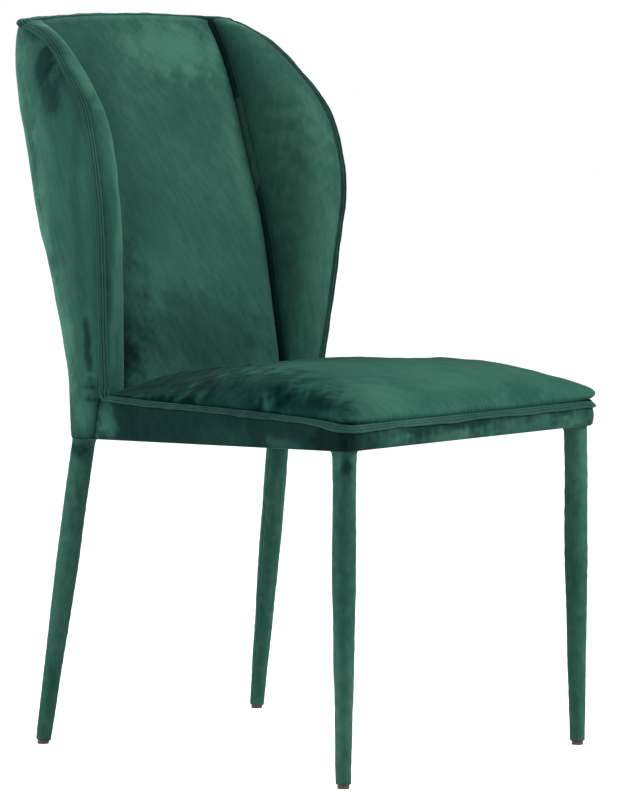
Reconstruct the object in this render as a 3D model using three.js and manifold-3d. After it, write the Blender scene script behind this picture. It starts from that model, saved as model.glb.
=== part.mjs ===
// Dining chair: a winged, fully covered back on a crowned seat, with four tapered legs in fabric sleeves.
// Millimetres, +Z up, the chair faces -Y, the floor is z = 0, and x = 0 is its plane of symmetry.
import * as THREE from "three";
import { mergeVertices } from "three/addons/utils/BufferGeometryUtils.js";
import Module from "manifold-3d";

const wasm = await Module();
wasm.setup();

// Driving dimensions
const frontWidth = 473; // between the outer faces of the seat band, at the front legs
const rearWidth = 399; // the same, at the rear legs
const seatDepth = 454.5; // from the front leg tops to the rear leg tops
const frontLegY = -278.5;
const frontLegHeight = 400; // underside of the seat above the floor, at the front legs
const rearLegHeight = 386;
const frontFootSpread = 4; // how far a foot stands outside its leg's top
const frontFootKick = -2; // how far a foot stands behind its leg's top
const rearFootSpread = 17.5;
const rearFootKick = 56;
const legDiameter = 28.6; // over the sleeve
const legFootDiameter = 18.4;
const legTaperLength = 235; // from the foot up, the sleeve widens over this length
const frontOverhang = 5; // the seat's front stands this far before the front legs
const seatSeamFront = 431.5; // height of the seam round the seat, at its front
const seatSeamRear = 443; // the same, where it turns up into the wing
const seatCrown = 46; // rise of the seat cushion above the seam
const seatRearY = 137; // middle of the seat cushion's rear edge
const wingWidth = 456; // between the seams of the two wings at their widest
const wingReach = 162; // from the foremost point of a wing's seam back to the top corner
const backRake = 94.5; // from the rear leg tops back to the top corners
const backHeight = 456; // from the seat's rear corner up to the top corners
const topRise = 7; // rise of the top edge between its corners
const topBow = 18; // how far the top edge bows back between its corners

const gap = 0.3; // between neighbouring pieces
const coverThickness = 3.2; // seat band, padded velvet
const panelThickness = 9; // outer back and side panels, velvet on foam
const frontPadding = 22; // back cushions
const boardThickness = 4; // moulded plywood behind the back cushions
const flangeWidth = 10; // sewn edge that stands out along the seams
const flangeThickness = 4;
const railHeight = 18;
const railWidth = 20; // of the side rails
const seatBoardThickness = 8;
const topDiscThickness = 2; // steel ring between a leg and its rail
const frameTubeRadius = 7; // steel frame of the back

const velvet = { color: 0x3a6a5a, roughness: 0.85, metalness: 0 };
const velvetShade = { color: 0x2d584b, roughness: 0.85, metalness: 0 };
const steel = { color: 0x2b2c2e, roughness: 0.45, metalness: 0.8 };
const zinc = { color: 0xb9bcc0, roughness: 0.35, metalness: 0.9 };
const plywood = { color: 0xc9a876, roughness: 0.7, metalness: 0 };
const beech = { color: 0xb98d5c, roughness: 0.65, metalness: 0 };
const brownPlastic = { color: 0x5e4038, roughness: 0.5, metalness: 0 };
const blackCloth = { color: 0x1b1c1e, roughness: 0.9, metalness: 0 };

const chair = new THREE.Group();
const V = (x, y, z) => new THREE.Vector3(x, y, z);
const mix = (a, b, t) => a + (b - a) * t;
const clamp = (value) => Math.min(1, Math.max(0, value));

function addPiece(name, geometry, look, parent = chair) {
  const mesh = new THREE.Mesh(geometry, new THREE.MeshStandardMaterial(look));
  mesh.name = name;
  parent.add(mesh);
  return mesh;
}

// Smooth value at a height, through rows of hand-chosen shares whose first column is the height
function valueAt(rows, column, height) {
  const last = rows.length - 1;
  let i = 0;
  while (i < last - 1 && height > rows[i + 1][0]) i += 1;
  const slope = (k) => {
    const low = Math.max(0, k - 1);
    const high = Math.min(last, k + 1);
    return (rows[high][column] - rows[low][column]) / (rows[high][0] - rows[low][0]);
  };
  const span = rows[i + 1][0] - rows[i][0];
  const t = (height - rows[i][0]) / span;
  const value = rows[i][column] * (1 + 2 * t) * (1 - t) ** 2 + rows[i + 1][column] * t * t * (3 - 2 * t);
  return value + span * (slope(i) * t * (1 - t) ** 2 - slope(i + 1) * t * t * (1 - t));
}

// A closed solid between two grids of points, which face each other point by point
function solidBetween(front, back) {
  const rows = front.length;
  const columns = front[0].length;
  const points = [...front.flat(), ...back.flat()];
  const at = (layer, r, c) => layer * rows * columns + r * columns + c;
  const faces = [];
  const quad = (a, b, c, d) => faces.push([a, b, c], [a, c, d]);
  for (let r = 0; r < rows - 1; r += 1) {
    for (let c = 0; c < columns - 1; c += 1) {
      quad(at(0, r, c), at(0, r, c + 1), at(0, r + 1, c + 1), at(0, r + 1, c));
      quad(at(1, r, c), at(1, r + 1, c), at(1, r + 1, c + 1), at(1, r, c + 1));
    }
    quad(at(0, r, 0), at(0, r + 1, 0), at(1, r + 1, 0), at(1, r, 0));
    quad(at(0, r, columns - 1), at(1, r, columns - 1), at(1, r + 1, columns - 1), at(0, r + 1, columns - 1));
  }
  for (let c = 0; c < columns - 1; c += 1) {
    quad(at(0, 0, c), at(1, 0, c), at(1, 0, c + 1), at(0, 0, c + 1));
    quad(at(0, rows - 1, c), at(0, rows - 1, c + 1), at(1, rows - 1, c + 1), at(1, rows - 1, c));
  }
  let volume = 0;
  for (const [a, b, c] of faces) volume += points[a].dot(points[b].clone().cross(points[c]));
  if (volume < 0) faces.forEach((face) => face.reverse());
  const geometry = new THREE.BufferGeometry();
  geometry.setAttribute("position", new THREE.Float32BufferAttribute(points.flatMap((p) => p.toArray()), 3));
  geometry.setIndex(faces.flat());
  return geometry;
}

function gridOf(rowCount, columnCount, pointAt) {
  return Array.from({ length: rowCount + 1 }, (unusedRow, r) =>
    Array.from({ length: columnCount + 1 }, (unusedColumn, c) => pointAt(r / rowCount, c / columnCount)),
  );
}

const lines = (count, from, to, ease = 1) =>
  Array.from({ length: count + 1 }, (unused, i) => mix(from, to, 1 - (1 - i / count) ** ease));

// Heights of the seat's layers above its underside
const railFoot = topDiscThickness + 2 * gap;
const boardFoot = railFoot + railHeight + gap;
const cushionBase = boardFoot + seatBoardThickness + gap;

// Seat plan: a trapezium with tight front corners, wider in front, its underside falling to the rear
const rearLegY = frontLegY + seatDepth;
const sideAt = (y) => mix(frontWidth, rearWidth, (y - frontLegY) / seatDepth) / 2;
const undersideAt = (y) => mix(frontLegHeight, rearLegHeight, (y - frontLegY) / seatDepth);
const bandFront = frontLegY - legDiameter / 2 - frontOverhang;
const seatCornerRadius = 17;
const sideTurn = Math.atan2((frontWidth - rearWidth) / 2, seatDepth);
const cornerCentreY = bandFront + seatCornerRadius;
const cornerCentreX = sideAt(cornerCentreY) - seatCornerRadius / Math.cos(sideTurn);

// Half the seat's width at a distance inside its outline
function halfWidthAt(y, inset) {
  const radius = seatCornerRadius - inset;
  const across = y - cornerCentreY;
  if (across >= radius * Math.sin(sideTurn)) return sideAt(y) - inset / Math.cos(sideTurn);
  return cornerCentreX + Math.sqrt(Math.max(0, radius ** 2 - across ** 2));
}

// Stations along the right half of the outline, from the middle of the front to the rear
function frontStations(count) {
  return lines(count, 0, cornerCentreX).map((x) => ({ x, y: bandFront, nx: 0, ny: -1 }));
}
function cornerStations(count, from, to) {
  return lines(count, from, to).map((angle) => {
    const [nx, ny] = [Math.cos(angle), Math.sin(angle)];
    return { x: cornerCentreX + seatCornerRadius * nx, y: cornerCentreY + seatCornerRadius * ny, nx, ny };
  });
}
function sideStations(count, endY) {
  const [nx, ny] = [Math.cos(sideTurn), Math.sin(sideTurn)];
  return lines(count, cornerCentreY + seatCornerRadius * ny, endY).map((y) => ({ x: sideAt(y), y, nx, ny }));
}
const flipped = (stations) => stations.map(({ x, y, nx, ny }) => ({ x: -x, y, nx: -nx, ny })).reverse();
const cornerSplit = -Math.PI / 4; // the bands and flanges meet in the middle of each front corner
const frontRun = [...frontStations(6), ...cornerStations(4, -Math.PI / 2, cornerSplit).slice(1)];
const acrossFront = [...flipped(frontRun).slice(0, -1), ...frontRun];
const sideRun = (endY) => [...cornerStations(4, cornerSplit, sideTurn), ...sideStations(8, endY).slice(1)];

// Back: heights are shares of backHeight above the seat's rear corner, widths are shares of half the
// wing width, and forward places are shares of wingReach or backRake in front of the top corners.
const backBase = seatSeamRear - gap;
const cornerY = rearLegY + backRake;
const halfWing = wingWidth / 2;
const coverFoot = (undersideAt(rearLegY) - backBase) / backHeight; // the covers reach the underside
const tuckTopShare = 0.24; // of the height from the seat's rear corner down to the underside
const wingEdgeShares = [
  // height, width, forward as a share of wingReach
  [coverFoot, 0.886, 0.803],
  [coverFoot * tuckTopShare, 0.882, 0.845],
  [0.03, 0.883, 0.9],
  [0.18, 0.922, 0.94],
  [0.35, 0.958, 0.978],
  [0.535, 1, 1],
  [0.69, 0.996, 0.92],
  [0.785, 0.963, 0.795],
  [0.89, 0.915, 0.53],
  [0.95, 0.875, 0.345],
  [0.985, 0.858, 0.165],
  [1, 0.855, 0],
];
const seamShares = [
  // height, width of the centre panel's seam, forward as a share of backRake, share of frontPadding
  [coverFoot, 0.66, 1.172, 1],
  [0, 0.663, 1.156, 1],
  [0.24, 0.67, 0.967, 1],
  [0.44, 0.676, 0.779, 1],
  [0.635, 0.682, 0.534, 0.8],
  [0.82, 0.688, 0.312, 0.5],
  [0.92, 0.691, 0.168, 0.2],
  [0.975, 0.693, 0.04, 0.05],
  [1, 0.693, -0.046, 0],
];
const outerCornerShares = [
  // height, width, forward as a share of backRake, bow of the outer back as a share of topBow
  [coverFoot, 0.877, 0.846, 0.15],
  [0, 0.885, 0.814, 0.3],
  [0.094, 0.89, 0.751, 0.45],
  [0.287, 0.9, 0.518, 0.6],
  [0.524, 0.91, 0.223, 0.7],
  [0.678, 0.912, 0.077, 0.8],
  [0.807, 0.908, -0.063, 0.9],
  [0.906, 0.892, -0.151, 0.97],
  [0.955, 0.878, -0.146, 1],
  [0.985, 0.866, -0.094, 1],
  [1, 0.86, -0.031, 1],
];
const centreShare = 0.6; // the centre panel's part of a section, from the middle to the edge
const rollShares = { inward: 0.4, forward: 0.15, atSeam: 0.42, foot: 0.35 }; // of the wing's chord
const rollGrowth = 2.5; // how fast the roll fills out above the seat
const panelHollow = 10; // the centre panel is hollow from side to side by this much
const panelCrown = 8; // and its padding stands this proud of its seams
const sideCrown = 6; // the side panels bulge by this much
const cornerRadius = 26; // rear corners of the outer cover
const cornerShare = 0.38; // of a side panel's depth that its rear corner may take
const tuckShare = 0.015; // this far below the seat's corner a wing cushion has drawn in behind the band

const heightOf = (h) => backBase + backHeight * h;
const edgeY = (h) => cornerY - wingReach * valueAt(wingEdgeShares, 2, h);
const seamXAt = (h) => halfWing * valueAt(seamShares, 1, h);
const seamYAt = (h) =>
  cornerY - backRake * valueAt(seamShares, 2, h) - frontPadding * valueAt(seamShares, 3, h);

// The feet of the wings and of the rear corners follow the seat's sides; above they have their own width
const wingStep = 2.1; // the wing's seam lies this far inside the seat's outline
const cornerStep = 2.3; // the rear corner stands this far outside the rear leg
const footReachShare = 0.5; // up to this height the seat's sides lead
const wingLead = sideAt(edgeY(0)) - wingStep - halfWing * valueAt(wingEdgeShares, 1, 0);
const cornerLead = rearWidth / 2 + cornerStep - halfWing * valueAt(outerCornerShares, 1, 0);
const leadAt = (h) => (1 - clamp(h / footReachShare)) ** 2;
const edgeX = (h) => halfWing * valueAt(wingEdgeShares, 1, h) + wingLead * leadAt(h);
const cornerXAt = (h) => halfWing * valueAt(outerCornerShares, 1, h) + cornerLead * leadAt(h);
const edgeAt = (h) => V(edgeX(h), edgeY(h), heightOf(h));
const topX = edgeX(1);
const crownAt = (x, h) => topRise * (1 - clamp(Math.abs(x) / topX) ** 2) * clamp(h) ** 8;

// Frame along the right wing's seam: its direction, the way the flange stands out, and the way back
const slopeStepShare = 0.01;
const liftStartShare = 0.85; // above this height the flange leans up towards the ear
const earSlope = 0.5;
function edgeFrame(h) {
  const along = edgeAt(Math.min(1, h + slopeStepShare)).sub(edgeAt(h - slopeStepShare)).normalize();
  const lift = clamp((h - liftStartShare) / (1 - liftStartShare)) ** 2;
  const out = V(1, 0, earSlope * lift);
  out.addScaledVector(along, -out.dot(along)).normalize();
  const behind = out.clone().cross(along).normalize().negate();
  return { along, out, behind };
}

function outerY(x, h) {
  const bow = topBow * valueAt(outerCornerShares, 3, h);
  const bowed = bow * (1 - clamp(Math.abs(x) / cornerXAt(h)) ** 2);
  return cornerY - backRake * valueAt(outerCornerShares, 2, h) + bowed;
}

// A point of the front surface on the right half: v is 0 at the wing's seam and 1 at the centre seam
function wingFront(v, h) {
  const { behind } = edgeFrame(h);
  const start = edgeAt(h).addScaledVector(behind, -flangeThickness / 2);
  start.x -= (coverThickness + 3 * gap) * clamp(-h / tuckShare);
  const seamX = seamXAt(h);
  const end = V(seamX, seamYAt(h), heightOf(h) + crownAt(seamX, h));
  const chord = start.distanceTo(end);
  const roll = chord * Math.min(1, rollShares.foot + rollGrowth * clamp(h));
  const first = start.clone().add(V(-rollShares.inward * chord, -rollShares.forward * roll, 0));
  const second = end.clone().add(V(0, -rollShares.atSeam * roll, 0));
  return new THREE.CubicBezierCurve3(start, first, second, end).getPoint(v);
}

// The matching point of the outer surface: along the side panel, round the rear corner, to the seam
function wingOuter(v, h) {
  const { behind } = edgeFrame(h);
  const start = edgeAt(h).addScaledVector(behind, flangeThickness / 2);
  const sharp = V(cornerXAt(h), 0, heightOf(h));
  sharp.y = outerY(sharp.x, h);
  const side = start.distanceTo(sharp);
  const radius = Math.min(cornerRadius, side * cornerShare);
  const before = sharp.clone().lerp(start, radius / side);
  const after = V(sharp.x - radius, 0, sharp.z + crownAt(sharp.x - radius, h));
  after.y = outerY(after.x, h);
  const sideShare = 0.5;
  const roundShare = 0.75;
  if (v <= sideShare) {
    const s = v / sideShare;
    const point = start.lerp(before, s);
    point.x += sideCrown * Math.min(1, side / wingReach) * Math.sin(Math.PI * s) ** 0.8;
    return point;
  }
  if (v <= roundShare) {
    const s = (v - sideShare) / (roundShare - sideShare);
    return new THREE.QuadraticBezierCurve3(before, sharp, after).getPoint(s);
  }
  const x = mix(after.x, seamXAt(h), (v - roundShare) / (1 - roundShare));
  return V(x, outerY(x, h), heightOf(h) + crownAt(x, h));
}

// Both surfaces over the whole width: w runs from -1 at the left wing's seam to 1 at the right one's
function frontPoint(w, h) {
  const side = Math.sign(w) || 1;
  if (Math.abs(w) > centreShare) {
    const point = wingFront((1 - Math.abs(w)) / (1 - centreShare), h);
    point.x *= side;
    return point;
  }
  const u = w / centreShare;
  const x = u * seamXAt(h);
  const topHollow = topBow * (1 - (valueAt(seamShares, 1, 1) / outerCornerShares.at(-1)[1]) ** 2);
  const hollow = mix(panelHollow, topHollow, clamp(h) ** 8);
  const padding = panelCrown * (1 - Math.abs(u) ** 7) * (1 - clamp(h) ** 12);
  return V(x, seamYAt(h) + hollow * (1 - u * u) - padding, heightOf(h) + crownAt(x, h));
}

function outerPoint(w, h) {
  const side = Math.sign(w) || 1;
  if (Math.abs(w) > centreShare) {
    const point = wingOuter((1 - Math.abs(w)) / (1 - centreShare), h);
    point.x *= side;
    return point;
  }
  const x = (w / centreShare) * seamXAt(h);
  return V(x, outerY(x, h), heightOf(h) + crownAt(x, h));
}

// A point at a depth under the front surface, or under the outer one; each side keeps to its own half
// of the room between them.
function layerPoint(w, h, depth, side) {
  const front = frontPoint(w, h);
  const outer = outerPoint(w, h);
  const room = front.distanceTo(outer);
  const share = Math.min(depth, room / 2 - gap) / room;
  const point = side === "outer" ? outer.lerp(front, share) : front.lerp(outer, share);
  const drop = clamp((h - cushionFoot) / (coverFoot - cushionFoot));
  point.z += drop * (undersideAt(point.y) - undersideAt(rearLegY));
  return point;
}

// A padded panel or board of the back between two depths, on the given lines of width and height
function backPiece({ widths, heights, near = 0, far, side = "front" }) {
  const depthAt = (depth, h) => (typeof depth === "function" ? depth(h) : depth);
  const layer = (depth) => heights.map((h) => widths.map((w) => layerPoint(w, h, depthAt(depth, h), side)));
  return solidBetween(layer(near), layer(far));
}

// All pieces of the back share these lines, so that their facets lie side by side
const gapShare = gap / wingWidth; // half a gap, as a share of half the width
const rearShare = 0.22; // of a wing's lines lie on the rear, up to the seam behind the corner
const panelSeam = centreShare + (1 - centreShare) * rearShare;
const seamEdge = centreShare + gapShare;
const rearEdge = panelSeam + gapShare;
const centreLines = lines(14, -centreShare + gapShare, centreShare - gapShare);
const roundLines = lines(2, seamEdge, panelSeam - gapShare);
const sideLines = lines(9, rearEdge, 1);
const mirrored = (widths) => widths.map((w) => -w).reverse();
const cushionFootY = Math.min(edgeY(0), seamYAt(0)); // where a cushion stands furthest forward
const cushionFoot = (undersideAt(cushionFootY) + cushionBase - backBase) / backHeight; // on the seat board
const turnTopShare = 0.03; // above this height the wing's flange follows its edge
const heightEase = 1.8; // the lines lie closer towards the top
const cushionHeights = [cushionFoot, -tuckShare, 0, ...lines(14, turnTopShare, 1, heightEase)];
const coverHeights = [coverFoot, (coverFoot + cushionFoot) / 2, ...cushionHeights];
const fullPaddingShare = 0.1; // the covers thicken up to this height
const paddingAt = (h) =>
  mix(coverThickness, panelThickness, clamp((h - coverFoot) / (fullPaddingShare - coverFoot)));
const bothSides = [["left", mirrored], ["right", (widths) => widths]];

const cushionPiece = (widths) => backPiece({ widths, heights: cushionHeights, far: frontPadding });
const coverPiece = (widths) => backPiece({ widths, heights: coverHeights, far: paddingAt, side: "outer" });
addPiece("back_cushion_centre", cushionPiece(centreLines), velvet);
const rearLines = [...mirrored(roundLines), ...centreLines, ...roundLines];
addPiece("outer_back_panel", coverPiece(rearLines), velvetShade);
for (const [side, onSide] of bothSides) {
  addPiece(`wing_cushion_${side}`, cushionPiece(onSide([...roundLines, ...sideLines])), velvet);
  addPiece(`side_panel_${side}`, coverPiece(onSide(sideLines)), velvetShade);
}

// Moulded plywood behind the cushions, in three boards, which stop short of the thin edges
const boardTopShare = 0.84;
const wingBoardTopShare = 0.72;
const wingBoardEdgeShare = 0.84;
const boardNear = frontPadding + 2 * gap;
const boardFar = boardNear + boardThickness;
const boardHeights = cushionHeights.filter((h) => h <= boardTopShare);
const wingBoardHeights = cushionHeights.filter((h) => h <= wingBoardTopShare);
const boardPiece = (widths, heights) => backPiece({ widths, heights, near: boardNear, far: boardFar });
addPiece("back_board_centre", boardPiece(centreLines, boardHeights), plywood);
for (const [side, onSide] of bothSides) {
  const boardLines = onSide([...roundLines, ...sideLines].filter((w) => w < wingBoardEdgeShare));
  addPiece(`wing_board_${side}`, boardPiece(boardLines, wingBoardHeights), plywood);
}

// Seat cushion: crowned over its whole width, falling to the back, round at its front edge
const crownShares = { frontEnd: 0.6, frontPower: 5.4, frontEase: 0.3, sideEase: 0.41 };
const fallShares = { start: 0.4, depth: 0.52 }; // the crown falls behind this place, by this share of itself
const sidePowers = [8, 1.57]; // squareness of the crown across the seat, at the front and at the rear
const rearClearance = 1.2; // between the seat cushion and the back
const rimInset = coverThickness + gap;
const cushionFront = bandFront + rimInset;
const seatSeamAt = (y) =>
  mix(seatSeamFront, seatSeamRear, clamp((y - bandFront) / (edgeY(0) - bandFront)));

// Foremost place of the back's front surface over the cushion's rear face, at a distance from the middle
const rearFaceShare = 0.06; // the seat cushion meets the back up to this height
const searchShare = 0.004;
function backFaceAt(x) {
  const places = lines(4, cushionFoot, rearFaceShare).map((h) => {
    let w = 0;
    while (w < 1 && frontPoint(w, h).x < x) w += searchShare;
    return frontPoint(Math.min(1, w), h).y;
  });
  return Math.min(...places);
}

const acrossEase = 1.7; // the lines lie closer towards the sides, and towards the front
const depthEase = 1.9;
const acrossLines = lines(11, 0, 1, acrossEase);
const seatColumns = [...acrossLines.slice(1).map((u) => -u).reverse(), ...acrossLines];
const seatRows = lines(18, 1, 0, depthEase).reverse();
const seatRearHalf = halfWidthAt(seatRearY, rimInset);
const rearEdges = seatColumns.map((u) => backFaceAt(Math.abs(u) * seatRearHalf) - rearClearance);

function seatPlanPoint(t, column) {
  const y = mix(cushionFront, rearEdges[column], t);
  return V(seatColumns[column] * halfWidthAt(y, rimInset), y, undersideAt(y) + cushionBase);
}
function seatTopPoint(t, column) {
  const point = seatPlanPoint(t, column);
  const power = mix(sidePowers[0], sidePowers[1], t);
  const across = (1 - Math.abs(seatColumns[column]) ** power) ** crownShares.sideEase;
  const rising = 1 - (1 - clamp(t / crownShares.frontEnd)) ** crownShares.frontPower;
  const fall = clamp((t - fallShares.start) / (1 - fallShares.start));
  const crown = seatCrown * across * rising ** crownShares.frontEase;
  point.z = seatSeamAt(point.y) + crown * (1 - fallShares.depth * fall ** 2);
  return point;
}
const seatGrid = (pointAt) => seatRows.map((t) => seatColumns.map((unused, column) => pointAt(t, column)));
addPiece("seat_cushion", solidBetween(seatGrid(seatPlanPoint), seatGrid(seatTopPoint)), velvet);

// A strip of rectangular section; each station has a point, a direction along, one outward, and the
// distances outward between which the strip lies. Its thickness lies either side of the path.
const stripThickness = flangeThickness - 2 * gap;
function stripAlong(stations) {
  const rings = stations.map(({ point, along, out, near, far }) => {
    const across = along.clone().cross(out).normalize().multiplyScalar(stripThickness / 2);
    const inner = point.clone().addScaledVector(out, near);
    const outer = point.clone().addScaledVector(out, far);
    const low = [inner.clone().sub(across), outer.clone().sub(across)];
    return { low, high: [inner.add(across), outer.add(across)] };
  });
  return solidBetween(rings.map((ring) => ring.low), rings.map((ring) => ring.high));
}

// Directions along a row of stations, with the outward ones set square to them
function directed(stations) {
  return stations.map((station, i) => {
    const next = stations[Math.min(stations.length - 1, i + 1)].point;
    const along = next.clone().sub(stations[Math.max(0, i - 1)].point).normalize();
    const out = station.out.clone().addScaledVector(along, -station.out.dot(along)).normalize();
    return { ...station, along, out };
  });
}

// Seat flange: sewn under the cushion's rim, it hangs outward over the band, more steeply in front
const sideDroop = Math.PI / 4;
const frontDroop = Math.PI / 3;
const frontFlangeWidth = 12.5;
const droopAt = (x) => mix(frontDroop, sideDroop, clamp(Math.abs(x) / cornerCentreX) ** 2);
const droopWidthAt = (x) => mix(frontFlangeWidth, flangeWidth, clamp(Math.abs(x) / cornerCentreX) ** 2);
function droopStation({ x, y, nx, ny }) {
  const droop = droopAt(x);
  return {
    point: V(x - nx * coverThickness, y - ny * coverThickness, seatSeamAt(y)),
    out: V(nx * Math.cos(droop), ny * Math.cos(droop), -Math.sin(droop)),
    near: (stripThickness / 2) * Math.tan(droop),
    far: droopWidthAt(x),
  };
}
const turnLead = 24;
const turnStart = edgeY(0) - turnLead; // here the wing's flange takes over from the seat's
const cutBack = (stations, length) => {
  const [first, second] = stations;
  const share = length / Math.hypot(second.x - first.x, second.y - first.y);
  const start = { ...first, x: mix(first.x, second.x, share), y: mix(first.y, second.y, share) };
  return [start, ...stations.slice(1)];
};
const flangePiece = (stations) => stripAlong(directed(stations.map(droopStation)));
const flangeRun = cutBack(sideRun(turnStart), gap);
addPiece("seat_flange_front", flangePiece(acrossFront), velvet);
addPiece("seat_flange_right", flangePiece(flangeRun), velvet);
addPiece("seat_flange_left", flangePiece(flipped(flangeRun)), velvet);

// Seat bands under the flange, from the underside up; they end at the seams of the side panels
const bandTopAt = ({ x, y }) => {
  const droop = droopAt(x);
  return seatSeamAt(y) - coverThickness * Math.tan(droop) - (flangeThickness / 2 + gap) / Math.cos(droop);
};
function bandPiece(stations, inset) {
  const layer = (depth) =>
    [0, 1].map((level) =>
      stations.map((station) => {
        const { x, y, nx, ny } = station;
        const lead = level * bandLead * clamp((y - cornerCentreY) / (bandEnd - cornerCentreY));
        const widening = Math.sign(x) * lead * Math.tan(sideTurn);
        const z = mix(undersideAt(y), bandTopAt(station), level);
        return V(x - nx * depth + widening, y - ny * depth - lead, z);
      }),
    );
  return solidBetween(layer(0), layer(inset));
}
const bandEnd = edgeY(coverFoot) - 2 * gap;
const bandLead = edgeY(coverFoot) - edgeY(-tuckShare); // the rear end leans forward with the panel's edge
const bandRun = cutBack(sideRun(bandEnd), gap);
addPiece("seat_band_front", bandPiece(acrossFront, coverThickness), velvet);
addPiece("seat_band_right", bandPiece(bandRun, coverThickness), velvet);
addPiece("seat_band_left", bandPiece(flipped(bandRun), coverThickness), velvet);

// Wing flange: it leaves the seat's seam at the side, turns up and follows the wing's edge to the ear
const turnRadius = 11;
const earOut = V(1, 0, 0.3).normalize();
const earAlong = V(-0.6, 0.75, 0.3);
const earSetback = 1.2; // each flange ends this far before the ear's tip
const [turnNormalX, turnNormalY] = [Math.cos(sideTurn), Math.sin(sideTurn)];
const seatSideStation = (y) => droopStation({ x: sideAt(y), y, nx: turnNormalX, ny: turnNormalY });
const turnSteps = 6;
function wingStations() {
  const low = seatSideStation(edgeY(0) - turnRadius);
  const wingStation = (h) => ({ point: edgeAt(h), out: edgeFrame(h).out, near: 2 * gap, far: flangeWidth });
  const high = wingStation(turnTopShare);
  const corner = V((low.point.x + high.point.x) / 2, edgeY(0), seatSeamAt(edgeY(0)));
  const bend = new THREE.QuadraticBezierCurve3(low.point, corner, high.point);
  const turn = lines(turnSteps, 0, 1).map((t) => ({
    point: bend.getPoint(t),
    out: low.out.clone().lerp(high.out, t),
    near: mix(low.near, high.near, t),
    far: flangeWidth,
  }));
  const rising = cushionHeights.filter((h) => h > turnTopShare).map(wingStation);
  const stations = directed([seatSideStation(turnStart + gap), ...turn, ...rising]);
  const ear = stations[stations.length - 1];
  ear.point.addScaledVector(ear.along, -earSetback);
  return [...stations.slice(0, -1), { ...ear, along: earAlong.clone().normalize(), out: earOut.clone() }];
}
const mirror = ({ point, out, along, ...rest }) => ({
  ...rest,
  point: V(-point.x, point.y, point.z),
  out: V(-out.x, out.y, out.z),
  along: V(-along.x, along.y, along.z),
});
addPiece("wing_flange_right", stripAlong(wingStations()), velvet);
addPiece("wing_flange_left", stripAlong(wingStations().map(mirror)), velvet);

// Top flange: along the top edge between the ears; it lies back over the edge and turns out at the ears
const topLean = Math.PI / 36;
const topLift = (stripThickness / 2 + gap) / Math.cos(topLean);
const earBlend = 30; // over this distance from the ear it comes to lie back
const earLift = 2; // at the ear its root stands this far off the cushion
const topHalf = [...centreLines.filter((w) => w >= 0), ...roundLines, ...sideLines];
const topRun = topHalf.map((w) => {
  const point = frontPoint(w, 1).lerp(outerPoint(w, 1), 0.5);
  const lying = clamp((topX - point.x) / earBlend);
  point.z += topLift * Math.sqrt(lying);
  const out = earOut.clone().lerp(V(0, Math.cos(topLean), Math.sin(topLean)), lying);
  return { point, out, near: mix(earLift, gap, lying), far: flangeWidth };
});
function topStations() {
  const half = directed(topRun);
  const ear = half[half.length - 1];
  const point = ear.point.clone().addScaledVector(ear.along, -earSetback);
  const along = earAlong.clone().negate().normalize();
  return [...half.slice(0, -1), { ...ear, point, along, out: earOut.clone() }];
}
const topLeft = topStations().map(mirror).map((station) => ({ ...station, along: station.along.negate() }));
addPiece("top_flange", stripAlong([...topLeft.reverse().slice(0, -1), ...topStations()]), velvet);

// Solids joined or cut with one another
const weldDistance = 1e-3;
const degenerate = ([a, b, c]) => a === b || b === c || c === a;
function solidOf(geometry) {
  const bare = geometry.clone();
  bare.deleteAttribute("normal");
  bare.deleteAttribute("uv");
  const merged = mergeVertices(bare, weldDistance);
  const faces = [];
  for (let i = 0; i < merged.index.count; i += 3) faces.push([...merged.index.array.slice(i, i + 3)]);
  const triVerts = Uint32Array.from(faces.filter((face) => !degenerate(face)).flat());
  const vertProperties = merged.attributes.position.array;
  return new wasm.Manifold(new wasm.Mesh({ numProp: 3, vertProperties, triVerts }));
}
function geometryOf(solid) {
  const mesh = solid.getMesh();
  const geometry = new THREE.BufferGeometry();
  geometry.setAttribute("position", new THREE.Float32BufferAttribute(mesh.vertProperties, 3));
  geometry.setIndex([...mesh.triVerts]);
  return geometry;
}

// Legs: each has its own axis from the floor to the underside of the seat
const sleeveThickness = 1.5;
const tubeWall = 1.2;
const glideHeight = 5;
const glideRadius = 7.25;
const glideStemLength = 24;
const insertLength = 26;
const boltRadius = 3;
const boltHeadRadius = 5.5;
const boltHeadHeight = 5;
const topDiscRadius = 9.8;
const topDiscHole = 4.75;
const overrun = 12; // pieces that are cut at a plane first run past it by this much
const roundSegments = 20;
const boltSegments = 12;
const legRows = [
  { row: "front", top: frontWidth / 2, spread: frontFootSpread, y: frontLegY, kick: frontFootKick },
  { row: "rear", top: rearWidth / 2, spread: rearFootSpread, y: rearLegY, kick: rearFootKick },
];
const legs = [["right", 1], ["left", -1]].flatMap(([word, side]) =>
  legRows.map((leg) => ({ ...leg, side, name: `${leg.row}_${word}` })),
);
for (const leg of legs) {
  leg.topPoint = V(leg.side * (leg.top - legDiameter / 2), leg.y, undersideAt(leg.y));
  leg.foot = V(leg.topPoint.x + leg.side * leg.spread, leg.y + leg.kick, 0);
  leg.length = leg.topPoint.distanceTo(leg.foot);
}
const legRadiusAt = (s) => mix(legFootDiameter, legDiameter, clamp(s / legTaperLength)) / 2;

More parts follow.
